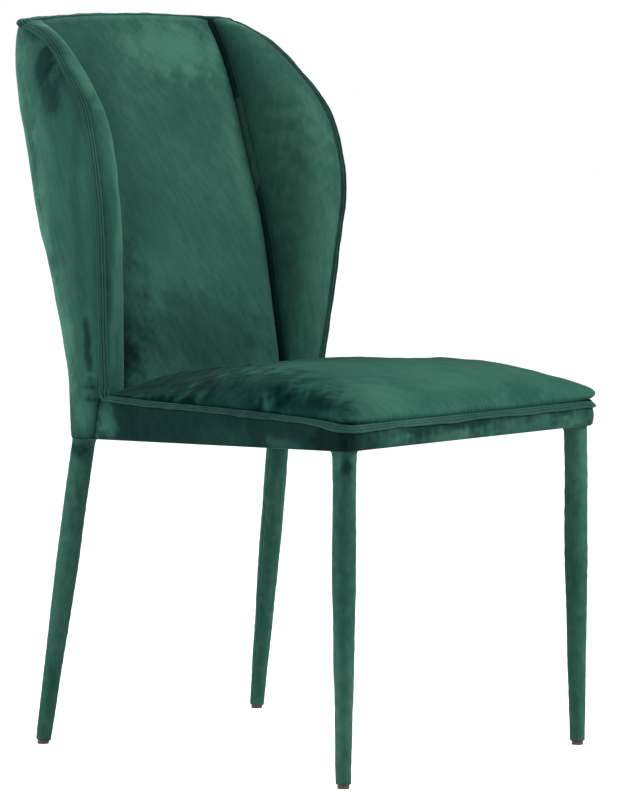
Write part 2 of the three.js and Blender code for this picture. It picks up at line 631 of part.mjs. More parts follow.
// A turned piece in a leg: the profile gives radius and distance from the floor along the leg's axis
function turned(leg, profile, segments = roundSegments) {
  const geometry = new THREE.LatheGeometry(profile.map(([r, s]) => new THREE.Vector2(r, s)), segments);
  const axis = leg.topPoint.clone().sub(leg.foot).normalize();
  geometry.applyQuaternion(new THREE.Quaternion().setFromUnitVectors(V(0, 1, 0), axis));
  return geometry.translate(...leg.foot.toArray());
}
const rod = (radius, from, to) => [[0, from], [radius, from], [radius, to], [0, to]];
const ring = (inner, outer, from, to) => [
  [inner, from],
  [outer, from],
  [outer, to],
  [inner, to],
  [inner, from],
];
function tapered(outset, inset, from, to) {
  const stops = [from, legTaperLength, to];
  const outer = stops.map((s) => [legRadiusAt(s) - outset, s]);
  const inner = stops.map((s) => [legRadiusAt(s) - inset, s]).reverse();
  return [...outer, ...inner, outer[0]];
}

// The room under the seat: from the floor to just below the underside
const roomReach = seatDepth + frontWidth;
function roomUnderSeat(clearance) {
  const grid = (y) =>
    [0, undersideAt(y) - clearance].map((z) => [V(-roomReach, y, z), V(roomReach, y, z)]);
  return solidOf(solidBetween(grid(-roomReach), grid(roomReach)));
}
const legRoom = roomUnderSeat(gap);
const cutInRoom = (geometry) => geometryOf(solidOf(geometry).intersect(legRoom));

function boltHole(leg, radius) {
  const profile = rod(radius, leg.length - insertLength - overrun, leg.length + 3 * overrun);
  return solidOf(turned(leg, profile, boltSegments));
}
for (const leg of legs) {
  const sleeveBase = glideHeight + gap;
  const pastTop = leg.length + overrun;
  const tubeInset = sleeveThickness + gap;
  const tubeInner = tubeInset + tubeWall;
  const sleeve = turned(leg, tapered(0, sleeveThickness, sleeveBase, pastTop));
  addPiece(`leg_sleeve_${leg.name}`, cutInRoom(sleeve), velvet);
  const tube = turned(leg, tapered(tubeInset, tubeInner, sleeveBase, pastTop));
  addPiece(`leg_tube_${leg.name}`, cutInRoom(tube), steel);
  const stemRadius = legFootDiameter / 2 - tubeInner - gap;
  const stemTop = glideHeight + glideStemLength;
  const glide = [[0, -overrun], [glideRadius, -overrun], [glideRadius, glideHeight]];
  glide.push([stemRadius, glideHeight], [stemRadius, stemTop], [0, stemTop]);
  addPiece(`leg_glide_${leg.name}`, cutInRoom(turned(leg, glide)), brownPlastic);
  const insertRadius = legDiameter / 2 - tubeInner - gap;
  const insertBase = leg.length - insertLength;
  const insert = turned(leg, ring(boltRadius + gap, insertRadius, insertBase, pastTop), roundSegments);
  addPiece(`leg_insert_${leg.name}`, cutInRoom(insert), zinc);
  const headBase = leg.length + railFoot + railHeight + 2 * gap + boltHeadRadius * boltTilt(leg);
  const headTop = headBase + boltHeadHeight;
  const bolt = [[0, insertBase + gap], [boltRadius, insertBase + gap], [boltRadius, headBase]];
  bolt.push([boltHeadRadius, headBase], [boltHeadRadius, headTop], [0, headTop]);
  addPiece(`leg_bolt_${leg.name}`, turned(leg, bolt, boltSegments), zinc);
  const disc = new THREE.LatheGeometry(
    ring(topDiscHole, topDiscRadius, gap, gap + topDiscThickness).map(([r, z]) => new THREE.Vector2(r, z)),
    roundSegments,
  );
  disc.rotateX(Math.PI / 2).translate(leg.topPoint.x, leg.topPoint.y, 0);
  addPiece(`leg_top_disc_${leg.name}`, onUnderside(disc), steel);
}
// Slope of a leg's axis against the seat's underside
function boltTilt(leg) {
  const axis = leg.topPoint.clone().sub(leg.foot).normalize();
  return Math.hypot(axis.x, axis.y) + (frontLegHeight - rearLegHeight) / seatDepth;
}
// Shears a flat geometry, made around z = 0, to lie along the seat's underside
function onUnderside(geometry) {
  const place = geometry.attributes.position;
  for (let i = 0; i < place.count; i += 1) place.setZ(i, place.getZ(i) + undersideAt(place.getY(i)));
  return geometry;
}

// Seat frame: four rails, a board on top, black cloth under the rails
const rearRailWidth = 36;
const rearRailReach = 10; // the rear rail's rear face lies this far behind the rear legs' tops
const rearRailRound = 13;
const boardHoleRadius = 8;
const boardLap = 8; // the board lies this far onto the rear rail
const dustClearance = 1;
const dustThickness = 1;
const dustNotch = 13;
const railFront = bandFront + rimInset;
const railLap = 4.2; // the front rail reaches this far behind the front legs' bolts
const frontRailRear = frontLegY + railLap;
const rearRailRear = rearLegY + rearRailReach;
const rearRailFront = rearRailRear - rearRailWidth;
const roundCentreY = rearRailRear - rearRailRound;
const cornerEase = lines(7, 0, 1, 2);

// A flat piece between two heights above the underside, from rows of left and right ends
function flatPiece(rows, low, high) {
  const layer = (height) =>
    rows.map(([y, left, right]) => [left, right].map((x) => V(x, y, undersideAt(y) + height)));
  return solidBetween(layer(low), layer(high));
}
const fullRow = (y) => [y, -halfWidthAt(y, rimInset), halfWidthAt(y, rimInset)];
const frontCornerRows = cornerEase.map((t) => fullRow(mix(railFront, cornerCentreY, 1 - t))).reverse();
const railTop = railFoot + railHeight;
const cutHoles = (geometry, chosen, radius) =>
  geometryOf(chosen.reduce((solid, leg) => solid.subtract(boltHole(leg, radius)), solidOf(geometry)));
const frontLegs = legs.filter((leg) => leg.y === frontLegY);
const rearLegs = legs.filter((leg) => leg.y === rearLegY);

const frontRail = flatPiece([...frontCornerRows, fullRow(frontRailRear)], railFoot, railTop);
addPiece("seat_rail_front", cutHoles(frontRail, frontLegs, boltRadius + gap), beech);
const rearRow = (y) => {
  const past = Math.max(0, y - roundCentreY);
  const drawnIn = rearRailRound - Math.sqrt(rearRailRound ** 2 - past ** 2);
  const half = halfWidthAt(roundCentreY, rimInset) - drawnIn;
  return [y, -half, half];
};
const rearRows = cornerEase.map((t) => rearRow(mix(roundCentreY, rearRailRear, t)));
const rearRail = flatPiece([fullRow(rearRailFront), ...rearRows], railFoot, railTop);
addPiece("seat_rail_rear", cutHoles(rearRail, rearLegs, boltRadius + gap), beech);
for (const side of [-1, 1]) {
  const rows = [frontRailRear + gap, rearRailFront - gap].map((y) => {
    const outer = halfWidthAt(y, rimInset);
    return [y, ...[outer - railWidth, outer].map((x) => side * x).sort((a, b) => a - b)];
  });
  addPiece(`seat_rail_${side > 0 ? "right" : "left"}`, flatPiece(rows, railFoot, railTop), beech);
}
const boardRear = fullRow(rearRailFront + boardLap);
const board = flatPiece([...frontCornerRows, boardRear], boardFoot, boardFoot + seatBoardThickness);
addPiece("seat_board", cutHoles(board, frontLegs, boardHoleRadius), plywood);

const notchFront = frontLegY + dustNotch;
const notchRear = rearLegY - dustNotch;
const dustCorners = [
  [legs[0].topPoint.x - dustNotch, railFront],
  [legs[0].topPoint.x - dustNotch, notchFront],
  [halfWidthAt(notchFront, rimInset), notchFront],
  [halfWidthAt(notchRear, rimInset), notchRear],
  [legs[1].topPoint.x - dustNotch, notchRear],
  [legs[1].topPoint.x - dustNotch, rearRailRear],
];
const dustOutline = [...dustCorners, ...dustCorners.map(([x, y]) => [-x, y]).reverse()];
const dustShape = new THREE.Shape(dustOutline.map(([x, y]) => new THREE.Vector2(x, y)));
const dustSheet = new THREE.ExtrudeGeometry(dustShape, { depth: dustThickness, bevelEnabled: false });
addPiece("dust_cover", onUnderside(dustSheet.translate(0, 0, dustClearance + gap)), blackCloth);

// Steel frame of the back: bent rods behind the boards, in rings on the rear rail, with two cross rods
const uprightShare = 0.55; // place of the uprights across the centre panel
const uprightBendShare = 0.09; // above this share of the height the uprights follow the boards
const uprightTopShare = 0.8;
const uprightSetback = 1.4;
const socketHeight = 30;
const socketWall = 2.7;
const rodClearance = 1.5;
const crossShares = [["back_lower_rail", 0.14], ["back_top_rail", 0.74]];
const rodSegments = 6;
const rodDepth = boardFar + frameTubeRadius + rodClearance;
function behindBoard(w, h) {
  const front = frontPoint(w, h);
  const outer = outerPoint(w, h);
  return front.clone().lerp(outer, rodDepth / front.distanceTo(outer));
}
function rodAlong(points, steps) {
  const outline = new THREE.Shape();
  outline.absarc(0, 0, frameTubeRadius, 0, 2 * Math.PI, false);
  const extrudePath = new THREE.CatmullRomCurve3(points, false, "centripetal");
  const settings = { steps, extrudePath, curveSegments: rodSegments, bevelEnabled: false };
  return new THREE.ExtrudeGeometry(outline, settings);
}
for (const [side, sign] of [["left", -1], ["right", 1]]) {
  const heights = lines(9, uprightBendShare, uprightTopShare);
  const bent = heights.map((h) => behindBoard(sign * uprightShare, h));
  const footX = bent[0].x;
  const footY = bent[0].y - uprightSetback;
  const base = undersideAt(footY) + railTop + gap;
  const straight = [base, base + socketHeight / 2, base + socketHeight].map((z) => V(footX, footY, z));
  addPiece(`back_upright_${side}`, rodAlong([...straight, ...bent], 24), steel);
  const innerRadius = frameTubeRadius + gap;
  const socket = new THREE.LatheGeometry(
    ring(innerRadius, innerRadius + socketWall, 0, socketHeight).map(([r, z]) => new THREE.Vector2(r, z)),
    roundSegments,
  );
  socket.rotateX(Math.PI / 2).translate(footX, footY, railTop + gap);
  addPiece(`upright_socket_${side}`, onUnderside(socket), steel);
}
for (const [name, h] of crossShares) {
  const reach = uprightShare * (1 - (frameTubeRadius + gap) / behindBoard(uprightShare, h).x);
  const points = lines(8, -reach, reach).map((w) => behindBoard(w, h));
  addPiece(name, rodAlong(points, 10), steel);
}

export default chair;
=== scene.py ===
"""Dining chair: a winged back and a crowned seat in green velvet, on four legs in velvet sleeves.

Metres, +Z up, the chair faces -Y, the floor is z = 0, and x = 0 is its plane of symmetry.
"""
import math

import bpy
import numpy as np
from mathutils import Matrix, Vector


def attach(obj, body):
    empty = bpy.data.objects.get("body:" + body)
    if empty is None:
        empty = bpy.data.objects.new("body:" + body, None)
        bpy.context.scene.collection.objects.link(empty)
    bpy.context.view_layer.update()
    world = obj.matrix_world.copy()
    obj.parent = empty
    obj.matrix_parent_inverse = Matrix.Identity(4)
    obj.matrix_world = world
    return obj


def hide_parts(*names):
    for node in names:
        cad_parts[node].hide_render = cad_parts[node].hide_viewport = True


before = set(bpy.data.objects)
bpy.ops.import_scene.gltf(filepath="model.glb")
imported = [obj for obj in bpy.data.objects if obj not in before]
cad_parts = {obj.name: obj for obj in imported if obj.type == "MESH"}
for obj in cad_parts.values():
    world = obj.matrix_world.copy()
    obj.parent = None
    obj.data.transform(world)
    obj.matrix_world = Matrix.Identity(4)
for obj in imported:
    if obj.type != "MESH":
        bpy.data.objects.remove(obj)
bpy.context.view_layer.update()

# Camera: a long lens a little above the top of the back, to the chair's left front, with the whole chair
# in an upright picture.
azimuth, elevation = math.radians(-49.34), math.radians(4.796)
distance = 6.158
aim = Vector((-0.0326, -0.0607, 0.4362))
away = Vector((
    math.sin(azimuth) * math.cos(elevation),
    -math.cos(azimuth) * math.cos(elevation),
    math.sin(elevation),
))
lens = bpy.data.cameras.new("camera")
lens.lens = 225
lens.sensor_width = 36
camera = bpy.data.objects.new("camera", lens)
camera.location = aim + away * distance
camera.rotation_mode = "QUATERNION"
camera.rotation_quaternion = away.to_track_quat("Z", "Y")
bpy.context.scene.collection.objects.link(camera)
bpy.context.scene.camera = camera


# Leg tubes and their fittings: tapered steel tubes in black powder coat, each with a zinc plated threaded
# ring in its top, a bolt through it, and a steel ring between the tube and the seat's rail.
class Field:
    """One socket of a shader; arithmetic on it adds Math nodes, so a formula reads as it would on paper."""

    def __init__(self, look, socket):
        self.look = look
        self.socket = socket

    def math(self, operation, *values):
        return self.look.node("ShaderNodeMath", {"operation": operation}, dict(enumerate(values)))

    def __add__(self, other):
        return self.math("ADD", self, other)

    def __radd__(self, other):
        return self.math("ADD", other, self)

    def __sub__(self, other):
        return self.math("SUBTRACT", self, other)

    def __rsub__(self, other):
        return self.math("SUBTRACT", other, self)

    def __mul__(self, other):
        return self.math("MULTIPLY", self, other)

    def __truediv__(self, other):
        return self.math("DIVIDE", self, other)

    def between(self, low, high):
        """0 up to the value low and 1 from high on, eased between the two."""
        inputs = {"Value": self, "From Min": low, "From Max": high}
        return self.look.node("ShaderNodeMapRange", {"interpolation_type": "SMOOTHSTEP"}, inputs)


class Look:
    """A material under construction. Places come from Object coordinates, so patterns stay on the piece."""

    def __init__(self, name):
        self.material = bpy.data.materials.new(name)
        self.material.use_nodes = True
        self.tree = self.material.node_tree
        self.tree.nodes.clear()
        self.place = self.node("ShaderNodeTexCoord", output="Object")

    def node(self, kind, settings=None, inputs=None, output=0):
        """Adds a node with its settings and the values or links of its sockets; gives one of its outputs."""
        made = self.tree.nodes.new(kind)
        for key, value in (settings or {}).items():
            if key == "stops":
                ramp = made.color_ramp
                while len(ramp.elements) < len(value):
                    ramp.elements.new(0.5)
                for element, (position, colour) in zip(ramp.elements, value):
                    element.position = position
                    element.color = (*colour, 1)
            else:
                setattr(made, key, value)
        for key, value in (inputs or {}).items():
            if isinstance(value, Field):
                self.tree.links.new(value.socket, made.inputs[key])
            else:
                made.inputs[key].default_value = value
        return Field(self, made.outputs[output])

    def turned(self, scale, lean=(0, 0, 0)):
        """The place, turned by lean and then scaled, for a pattern that is drawn out along one way."""
        kind, settings = "ShaderNodeMapping", {"vector_type": "POINT"}
        turn = self.node(kind, settings, {"Vector": self.place, "Rotation": lean})
        return self.node(kind, settings, {"Vector": turn, "Scale": scale})

    def noise(self, scale, detail=2, place=None, rough=0.5):
        inputs = {"Vector": place or self.place, "Scale": scale, "Detail": detail, "Roughness": rough}
        return self.node("ShaderNodeTexNoise", inputs=inputs)

    def ramp(self, value, stops):
        return self.node("ShaderNodeValToRGB", {"stops": stops}, {0: value})

    def mix(self, share, first, second):
        """A colour between a first one, from a socket, and a second one by a share of it."""
        inputs = {0: share, 6: first, 7: (*second, 1)}
        return self.node("ShaderNodeMix", {"data_type": "RGBA"}, inputs, 2)

    def bump(self, height, depth, strength=1.0):
        inputs = {"Strength": strength, "Distance": depth, "Height": height}
        return self.node("ShaderNodeBump", inputs=inputs)

    def surface(self, colour, roughness, normal=None, **constants):
        """Ends the material: what varies goes to its own socket, and the rest is set on the shader."""
        inputs = {"Base Color": colour, "Roughness": roughness}
        if normal is not None:
            inputs["Normal"] = normal
        inputs.update({key.replace("_", " "): value for key, value in constants.items()})
        shader = self.node("ShaderNodeBsdfPrincipled", inputs=inputs)
        end = self.tree.nodes.new("ShaderNodeOutputMaterial")
        self.tree.links.new(shader.socket, end.inputs["Surface"])
        return self.material


def powder_coat():
    look = Look("powder_coat")
    speckle = look.noise(2600, 2)
    tone = look.ramp(speckle, [(0.3, (0.010, 0.010, 0.011)), (0.7, (0.022, 0.022, 0.024))])
    return look.surface(tone, 0.42 + speckle * 0.12, look.bump(look.noise(1500, 1), 0.00006), Metallic=0.0)


def zinc_plate():
    look = Look("zinc_plate")
    blotch = look.noise(160, 3)
    scratch = look.noise(900, 2, look.turned((1, 1, 12)))
    tone = look.ramp(blotch, [(0.3, (0.42, 0.45, 0.49)), (0.7, (0.62, 0.63, 0.62))])
    return look.surface(tone, 0.26 + scratch * 0.2, look.bump(scratch, 0.00002), Metallic=1.0)


def finish_node(name, material):
    """Gives a piece that keeps its shape its finish."""
    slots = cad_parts[name].data.materials
    slots.clear()
    slots.append(material)


coat = powder_coat()
zinc = zinc_plate()
leg_names = ("front_left", "front_right", "rear_left", "rear_right")
for leg_name in leg_names:
    finish_node(f"leg_tube_{leg_name}", coat)
    finish_node(f"leg_top_disc_{leg_name}", coat)
    finish_node(f"leg_insert_{leg_name}", zinc)
    finish_node(f"leg_bolt_{leg_name}", zinc)


# Glides: brown moulded feet, each pushed into its tube by a stem, with a rounded rim that stands on the
# floor.
front_width, rear_width = 0.473, 0.399  # over the seat's band, at the front legs and at the rear ones
seat_depth, front_leg_y = 0.4545, -0.2785
rear_leg_y = front_leg_y + seat_depth
front_height, rear_height = 0.400, 0.386  # of the seat's underside above the floor
leg_radius, foot_radius, taper_length = 0.0143, 0.0092, 0.235
front_spread, front_kick = 0.004, -0.002
rear_spread, rear_kick = 0.0175, 0.056
glide_radius, glide_height, glide_rim = 0.00725, 0.005, 0.0009
glide_middle = 0.002  # radius of the ring in the middle of the foot
stem_radius, stem_end, stem_tip = 0.006, 0.029, 0.001
gap = 0.0003


def underside_at(y):
    """Height of the seat's underside: a straight line from the front legs' tops to the rear ones'."""
    return front_height + (rear_height - front_height) * (y - front_leg_y) / seat_depth


def leg_axis(name):
    """Foot, direction and two directions square to it, sideways and back, of the named leg."""
    side = 1 if name.endswith("right") else -1
    front = name.startswith("front")
    half = (front_width if front else rear_width) / 2
    spread, kick = (front_spread, front_kick) if front else (rear_spread, rear_kick)
    y = front_leg_y if front else rear_leg_y
    top = np.array([side * (half - leg_radius), y, underside_at(y)])
    foot = np.array([top[0] + side * spread, y + kick, 0])
    axis = (top - foot) / np.linalg.norm(top - foot)
    sideways = np.cross([0, 1, 0], axis)
    sideways /= np.linalg.norm(sideways)
    return foot, axis, sideways, np.cross(axis, sideways)


def round_leg(name, angles, radius, along):
    """Points at an angle and a radius round a leg's axis, a distance along it from the floor."""
    foot, axis, sideways, back = leg_axis(name)
    outward = np.cos(angles)[..., None] * sideways + np.sin(angles)[..., None] * back
    return foot + along[..., None] * axis + radius[..., None] * outward


def loft(rings, joined=False):
    """Faces of the skin over a row of closed rings. Its two ends get a cap each, or meet if it is joined."""
    count, around = rings.shape[:2]
    index = np.arange(count * around).reshape(count, around)
    caps = [] if joined else [index[0, ::-1].tolist(), index[-1].tolist()]
    if joined:
        index = np.vstack([index, index[:1]])
    beside = np.roll(index, -1, axis=1)
    quads = np.stack([index[:-1], beside[:-1], beside[1:], index[1:]], axis=-1)
    return quads.reshape(-1, 4).tolist() + caps


def new_piece(name, points, faces, material, nodes=(), crease=50, pile=None):
    """Makes a piece of points and faces, smooth but for edges sharper than crease degrees. The sum of the
    volumes under its quads says whether the faces look outward, and if not they are turned round. A velvet
    piece also carries the lightness of its nap at each point, with painted shade and highlights in it."""
    points = np.asarray(points, float).reshape(-1, 3)
    quads = np.array([face for face in faces if len(face) == 4])
    corner = points[quads] - points.mean(0)
    volume = np.einsum("ij,ij->", corner[:, 0], np.cross(corner[:, 1], corner[:, 2]))
    volume += np.einsum("ij,ij->", corner[:, 0], np.cross(corner[:, 2], corner[:, 3]))
    if volume < 0:
        faces = [face[::-1] for face in faces]
    mesh = bpy.data.meshes.new(name)
    mesh.from_pydata(points, [], faces)
    mesh.materials.append(material)
    if pile is not None:
        lightness = mesh.attributes.new("pile", "FLOAT", "POINT")
        lightness.data.foreach_set("value", np.asarray(pile, np.float32).ravel())
    mesh.shade_smooth()
    mesh.set_sharp_from_angle(angle=math.radians(crease))
    piece = bpy.data.objects.new(name, mesh)
    bpy.context.scene.collection.objects.link(piece)
    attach(piece, "root")
    if nodes:
        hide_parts(*nodes)
    return piece


def brown_plastic():
    look = Look("brown_plastic")
    scuff = look.noise(700, 3)
    tone = look.ramp(scuff, [(0.35, (0.105, 0.048, 0.038)), (0.65, (0.15, 0.072, 0.058))])
    return look.surface(tone, 0.4 + scuff * 0.25, look.bump(scuff, 0.00008))


plastic = brown_plastic()
round_angles = np.linspace(0, 2 * np.pi, 48, endpoint=False)
rim_turn = np.linspace(0, np.pi / 2, 5)
drawn, turned = 1 - np.sin(rim_turn), 1 - np.cos(rim_turn)
rim_radius = glide_radius - glide_rim * np.concatenate([drawn, turned])
rim_along = np.concatenate([glide_rim * turned, glide_height - glide_rim * drawn])
radius = np.concatenate([[glide_middle], rim_radius, [stem_radius, stem_radius, stem_tip]])
along = np.concatenate([[0], rim_along, [glide_height, stem_end - stem_tip, stem_end]])
for leg_name in leg_names:
    points = round_leg(leg_name, round_angles[None], radius[:, None], along[:, None])
    points[..., 2] = np.maximum(points[..., 2], 0)
    points[along < glide_rim / 2, :, 2] = 0
    nodes = [f"leg_glide_{leg_name}"]
    new_piece(f"glide_{leg_name}", points, loft(points), plastic, nodes)


# Leg sleeves: velvet sewn into a tapered sleeve with one seam at the back, drawn over the tube, turned in at
# the foot, and eased out at the top where it meets the seat's band.
def velvet(name, lean=(0, 0, 0), streak=(150, 150, 22), mottle=0.0, sheen=0.7, gloss=0.05):
    """Green velvet. The piece gives the lightness of its nap, with painted shade and highlights in it; the
    material adds soft patches, brushed streaks that are drawn out along one way, and the grain of the fibres."""
    look = Look(name)
    told = look.node("ShaderNodeAttribute", {"attribute_name": "pile"}, output="Fac")
    broad = look.noise(9, 2) - 0.5
    brushed = look.noise(1, 3, look.turned(streak, lean), 0.6) - 0.5
    spots = look.noise(75, 2, rough=0.6) - 0.5
    fibre = look.noise(1900, 2) - 0.5
    pile = told + broad * 0.3 + brushed * 0.26 + spots * mottle + fibre * 0.14
    stops = [
        (0.0, (0.0025, 0.014, 0.013)),
        (0.3, (0.0075, 0.038, 0.032)),
        (0.6, (0.0250, 0.094, 0.070)),
        (1.0, (0.0700, 0.205, 0.150)),
    ]
    colour = look.ramp(pile, stops)
    height = look.noise(1400, 2) + look.noise(260, 2) * 0.8
    return look.surface(
        colour,
        0.82 - pile * 0.12,
        look.bump(height, 0.00022, 0.6),
        Sheen_Weight=sheen,
        Sheen_Roughness=0.32,
        Sheen_Tint=(0.33, 0.7, 0.56, 1),
        Specular_IOR_Level=gloss,
    )


def waves(points, length, seed, count=14):
    """Soft unevenness from about -1 to 1: sine waves near one length, in directions drawn with the seed."""
    draw = np.random.default_rng(seed)
    direction = draw.normal(size=(count, 3))
    direction /= np.linalg.norm(direction, axis=1)[:, None] * length * draw.uniform(0.7, 1.5, count)[:, None]
    phase = draw.uniform(0, 2 * np.pi, count)
    return np.sin(2 * np.pi * np.asarray(points) @ direction.T + phase).sum(-1) / math.sqrt(count)


def ease(value):
    """0 to 1 with a soft start and end."""
    value = np.clip(value, 0, 1)
    return value * value * (3 - 2 * value)


def nap_with_painted_light(points, tone, marks, seed):
    """Lightness at each point: a tone, and soft patches with ragged edges, for brushed nap and for painted
    shade and highlights. A mark is a place, its reach along x, y and z, and how much lighter it is."""
    points = np.asarray(points)
    pile = np.full(points.shape[:-1], float(tone))
    ragged = 0.16 * waves(points, 0.03, seed + 90) + 0.1 * waves(points, 0.011, seed + 91)
    for place, reach, amount in marks:
        far = np.linalg.norm((points - place) / reach, axis=-1) + ragged
        pile += amount * (1 - ease((far - 0.25) / 1.0))
    return pile


sleeve_wall, hem_round = 0.0015, 0.0006
flare, flare_height = 0.004, 0.011
seam_groove, groove_width = 0.0007, 0.0008
seam_ridge, ridge_place, ridge_width = 0.0003, 0.0022, 0.0012
seam_angles = {"front_left": 0.25, "front_right": 0.75, "rear_left": 0.0, "rear_right": 1.0}  # in half turns
sleeve_rows = np.concatenate([
    [0],
    0.02 * ease(np.linspace(0.1, 1, 8)),
    np.linspace(0.03, 0.94, 90),
    1 - 0.055 * (1 - np.linspace(0.05, 1, 16)),
])
sleeve_angles = np.linspace(0, 2 * np.pi, 96, endpoint=False)


def sleeve_points(name, seed):
    """Outer and inner points of a sleeve over its height and round it: the outer radius is the taper, plus
    a flare at the top on the sides that face the rails, less a groove along the seam between two low ridges,
    plus soft waves, and rounded in at the hem."""
    foot, axis, sideways, back = leg_axis(name)
    slope = (rear_height - front_height) / seat_depth
    share, angle = np.meshgrid(sleeve_rows, sleeve_angles, indexing="ij")
    outward = np.cos(angle)[..., None] * sideways + np.sin(angle)[..., None] * back

    def reach(radius):
        start = foot + radius[..., None] * outward
        limit = underside_at(start[..., 1]) - gap - start[..., 2]
        return limit / (axis[2] - slope * axis[1])

    base = glide_height + gap
    length = reach(np.full_like(share, leg_radius))
    along = base + share * (length - base)
    radius = foot_radius + (leg_radius - foot_radius) * np.clip(along / taper_length, 0, 1)
    inner = radius - sleeve_wall
    side = -1 if name.endswith("right") else 1
    toward = np.maximum(0, side * np.cos(angle)) ** 2
    rearward = np.maximum(0, (1 if name.startswith("front") else -1) * np.sin(angle)) ** 2
    rise = np.clip(1 - (length - along) / flare_height, 0, 1)
    radius = radius + flare * (1 - np.sqrt(np.maximum(0, 1 - rise**2))) * np.clip(toward + rearward, 0, 1)
    seam = np.angle(np.exp(1j * (angle - np.pi * seam_angles[name]))) * radius
    groove = seam_groove * np.exp(-((seam / groove_width) ** 2))
    ridges = seam_ridge * np.exp(-(((np.abs(seam) - ridge_place) / ridge_width) ** 2))
    radius = radius - groove + ridges
    points = round_leg(name, angle, radius, along)
    soft = ease(share / 0.05) * ease((1 - share) / 0.02)
    uneven = 0.00028 * waves(points * [1, 1, 0.35], 0.03, seed) + 0.00016 * waves(points, 0.009, seed + 1)
    radius = radius + soft * uneven
    hem = np.clip(1 - (along - base) / hem_round, 0, 1)
    radius = radius - hem_round * (1 - np.sqrt(np.maximum(0, 1 - hem**2)))
    along = base + share * (reach(radius) - base)
    inner_along = base + share * (reach(inner) - base)
    return round_leg(name, angle, radius, along), round_leg(name, angle, inner, inner_along)


# The dark marks at the tops of the legs, just under the seat, are painted shade; the rest are patches of nap.
sleeve_marks = {
    "front_left": [
        ((-0.230, -0.289, 0.383), (0.007, 0.01, 0.014), -0.5),
        ((-0.240, -0.283, 0.386), (0.006, 0.01, 0.012), 0.2),
        ((-0.236, -0.285, 0.33), (0.03, 0.03, 0.05), -0.06),
        ((-0.236, -0.285, 0.10), (0.03, 0.03, 0.10), 0.12),
    ],
    "front_right": [((0.213, -0.29, 0.37), (0.03, 0.03, 0.06), 0.1)],
    "rear_left": [
        ((-0.197, 0.17, 0.372), (0.012, 0.03, 0.012), -0.3),
        ((-0.21, 0.2, 0.2), (0.03, 0.05, 0.1), 0.08),
    ],
    "rear_right": [((0.18, 0.17, 0.37), (0.03, 0.03, 0.05), -0.15)],
}
sleeve_velvet = velvet("velvet_sleeves", (0, 0, 0), (110, 110, 30), 0.3)
for number, leg_name in enumerate(leg_names):
    outer, inner = sleeve_points(leg_name, 20 + number)
    rings = np.concatenate([outer, inner[::-1]])
    pile = nap_with_painted_light(rings, 0.66, sleeve_marks[leg_name], 20 + number)
    faces, nodes = loft(rings, joined=True), [f"leg_sleeve_{leg_name}"]
    new_piece(f"sleeve_{leg_name}", rings, faces, sleeve_velvet, nodes, pile=pile)


# Seat frame: four beech rails that lie over the legs and are bolted to them, with a board of birch plywood on
# top that carries the foam.
def beech():
    look = Look("beech")
    grain = look.noise(1, 4, look.turned((18, 260, 260)), 0.6)
    fleck = look.noise(1, 1, look.turned((160, 900, 900)))
    tone = look.ramp(grain, [(0.3, (0.36, 0.20, 0.105)), (0.7, (0.50, 0.31, 0.17))])
    dark = look.mix(fleck.between(0.62, 0.72), tone, (0.24, 0.12, 0.06))
    return look.surface(dark, 0.55 + grain * 0.2, look.bump(grain, 0.0001))


def plywood():
    """Birch plywood: fine face grain along x, and on the sawn edges the plies show as bands."""
    look = Look("plywood")
    grain = look.noise(1, 4, look.turned((9, 210, 210)), 0.6)
    depth = look.node("ShaderNodeSeparateXYZ", inputs={0: look.place}, output=1)
    height = look.node("ShaderNodeSeparateXYZ", inputs={0: look.place}, output=2)
    level = height + depth * ((front_height - rear_height) / seat_depth)
    ply = look.node("ShaderNodeMath", {"operation": "PINGPONG"}, {0: level, 1: 0.0014})
    normal = look.node("ShaderNodeNewGeometry", output="Normal")
    upward = look.node("ShaderNodeSeparateXYZ", inputs={0: normal}, output=2)
    edge = 1 - upward.math("ABSOLUTE", upward).between(0.5, 0.8)
    band = (ply / 0.0014).between(0.45, 0.55) * edge * 0.5
    tone = look.ramp(grain, [(0.3, (0.50, 0.35, 0.19)), (0.7, (0.66, 0.50, 0.31))])
    dark = look.mix(band, tone, (0.24, 0.14, 0.07))
    return look.surface(dark, 0.6 + grain * 0.15, look.bump(grain, 0.00008))


beech_wood = beech()
birch = plywood()
for place in ("front", "rear", "left", "right"):
    finish_node(f"seat_rail_{place}", beech_wood)
finish_node("seat_board", birch)


# Frame of the back: two bent steel uprights in rings on the rear rail, two cross rods, all powder coated, and
# three moulded plywood boards that carry the cushions.
for side in ("left", "right"):
    finish_node(f"back_upright_{side}", coat)
    finish_node(f"upright_socket_{side}", coat)
    finish_node(f"wing_board_{side}", birch)
finish_node("back_lower_rail", coat)
finish_node("back_top_rail", coat)
finish_node("back_board_centre", birch)


# Dust cover: thin black cloth stapled under the rails, cut out round the legs, its edges turned in, with a
# slight sag in the middle.
def side_at(y):
    """Half the seat's width at its straight sides."""
    return (front_width + (rear_width - front_width) * (y - front_leg_y) / seat_depth) / 2


front_overhang = 0.005
cover_wall = 0.0032
corner_radius = 0.017
band_front = front_leg_y - leg_radius - front_overhang
side_turn = math.atan2((front_width - rear_width) / 2, seat_depth)
corner_y = band_front + corner_radius
corner_x = side_at(corner_y) - corner_radius / math.cos(side_turn)
rim_inset = cover_wall + gap


def half_width_at(y, inset):
    """Half the seat's width inside its outline by inset: an arc at the front corner, then a straight side."""
    radius = corner_radius - inset
    across = np.clip(y - corner_y, -radius, None)
    arc = corner_x + np.sqrt(np.maximum(0, radius**2 - across**2))
    return np.where(across < radius * math.sin(side_turn), arc, side_at(y) - inset / math.cos(side_turn))


def black_cloth():
    look = Look("black_cloth")
    fibre = look.noise(900, 3)
    tone = look.ramp(fibre, [(0.35, (0.010, 0.010, 0.011)), (0.65, (0.028, 0.028, 0.031))])
    return look.surface(tone, 0.9 - fibre * 0.1, look.bump(look.noise(1600, 2), 0.0002))


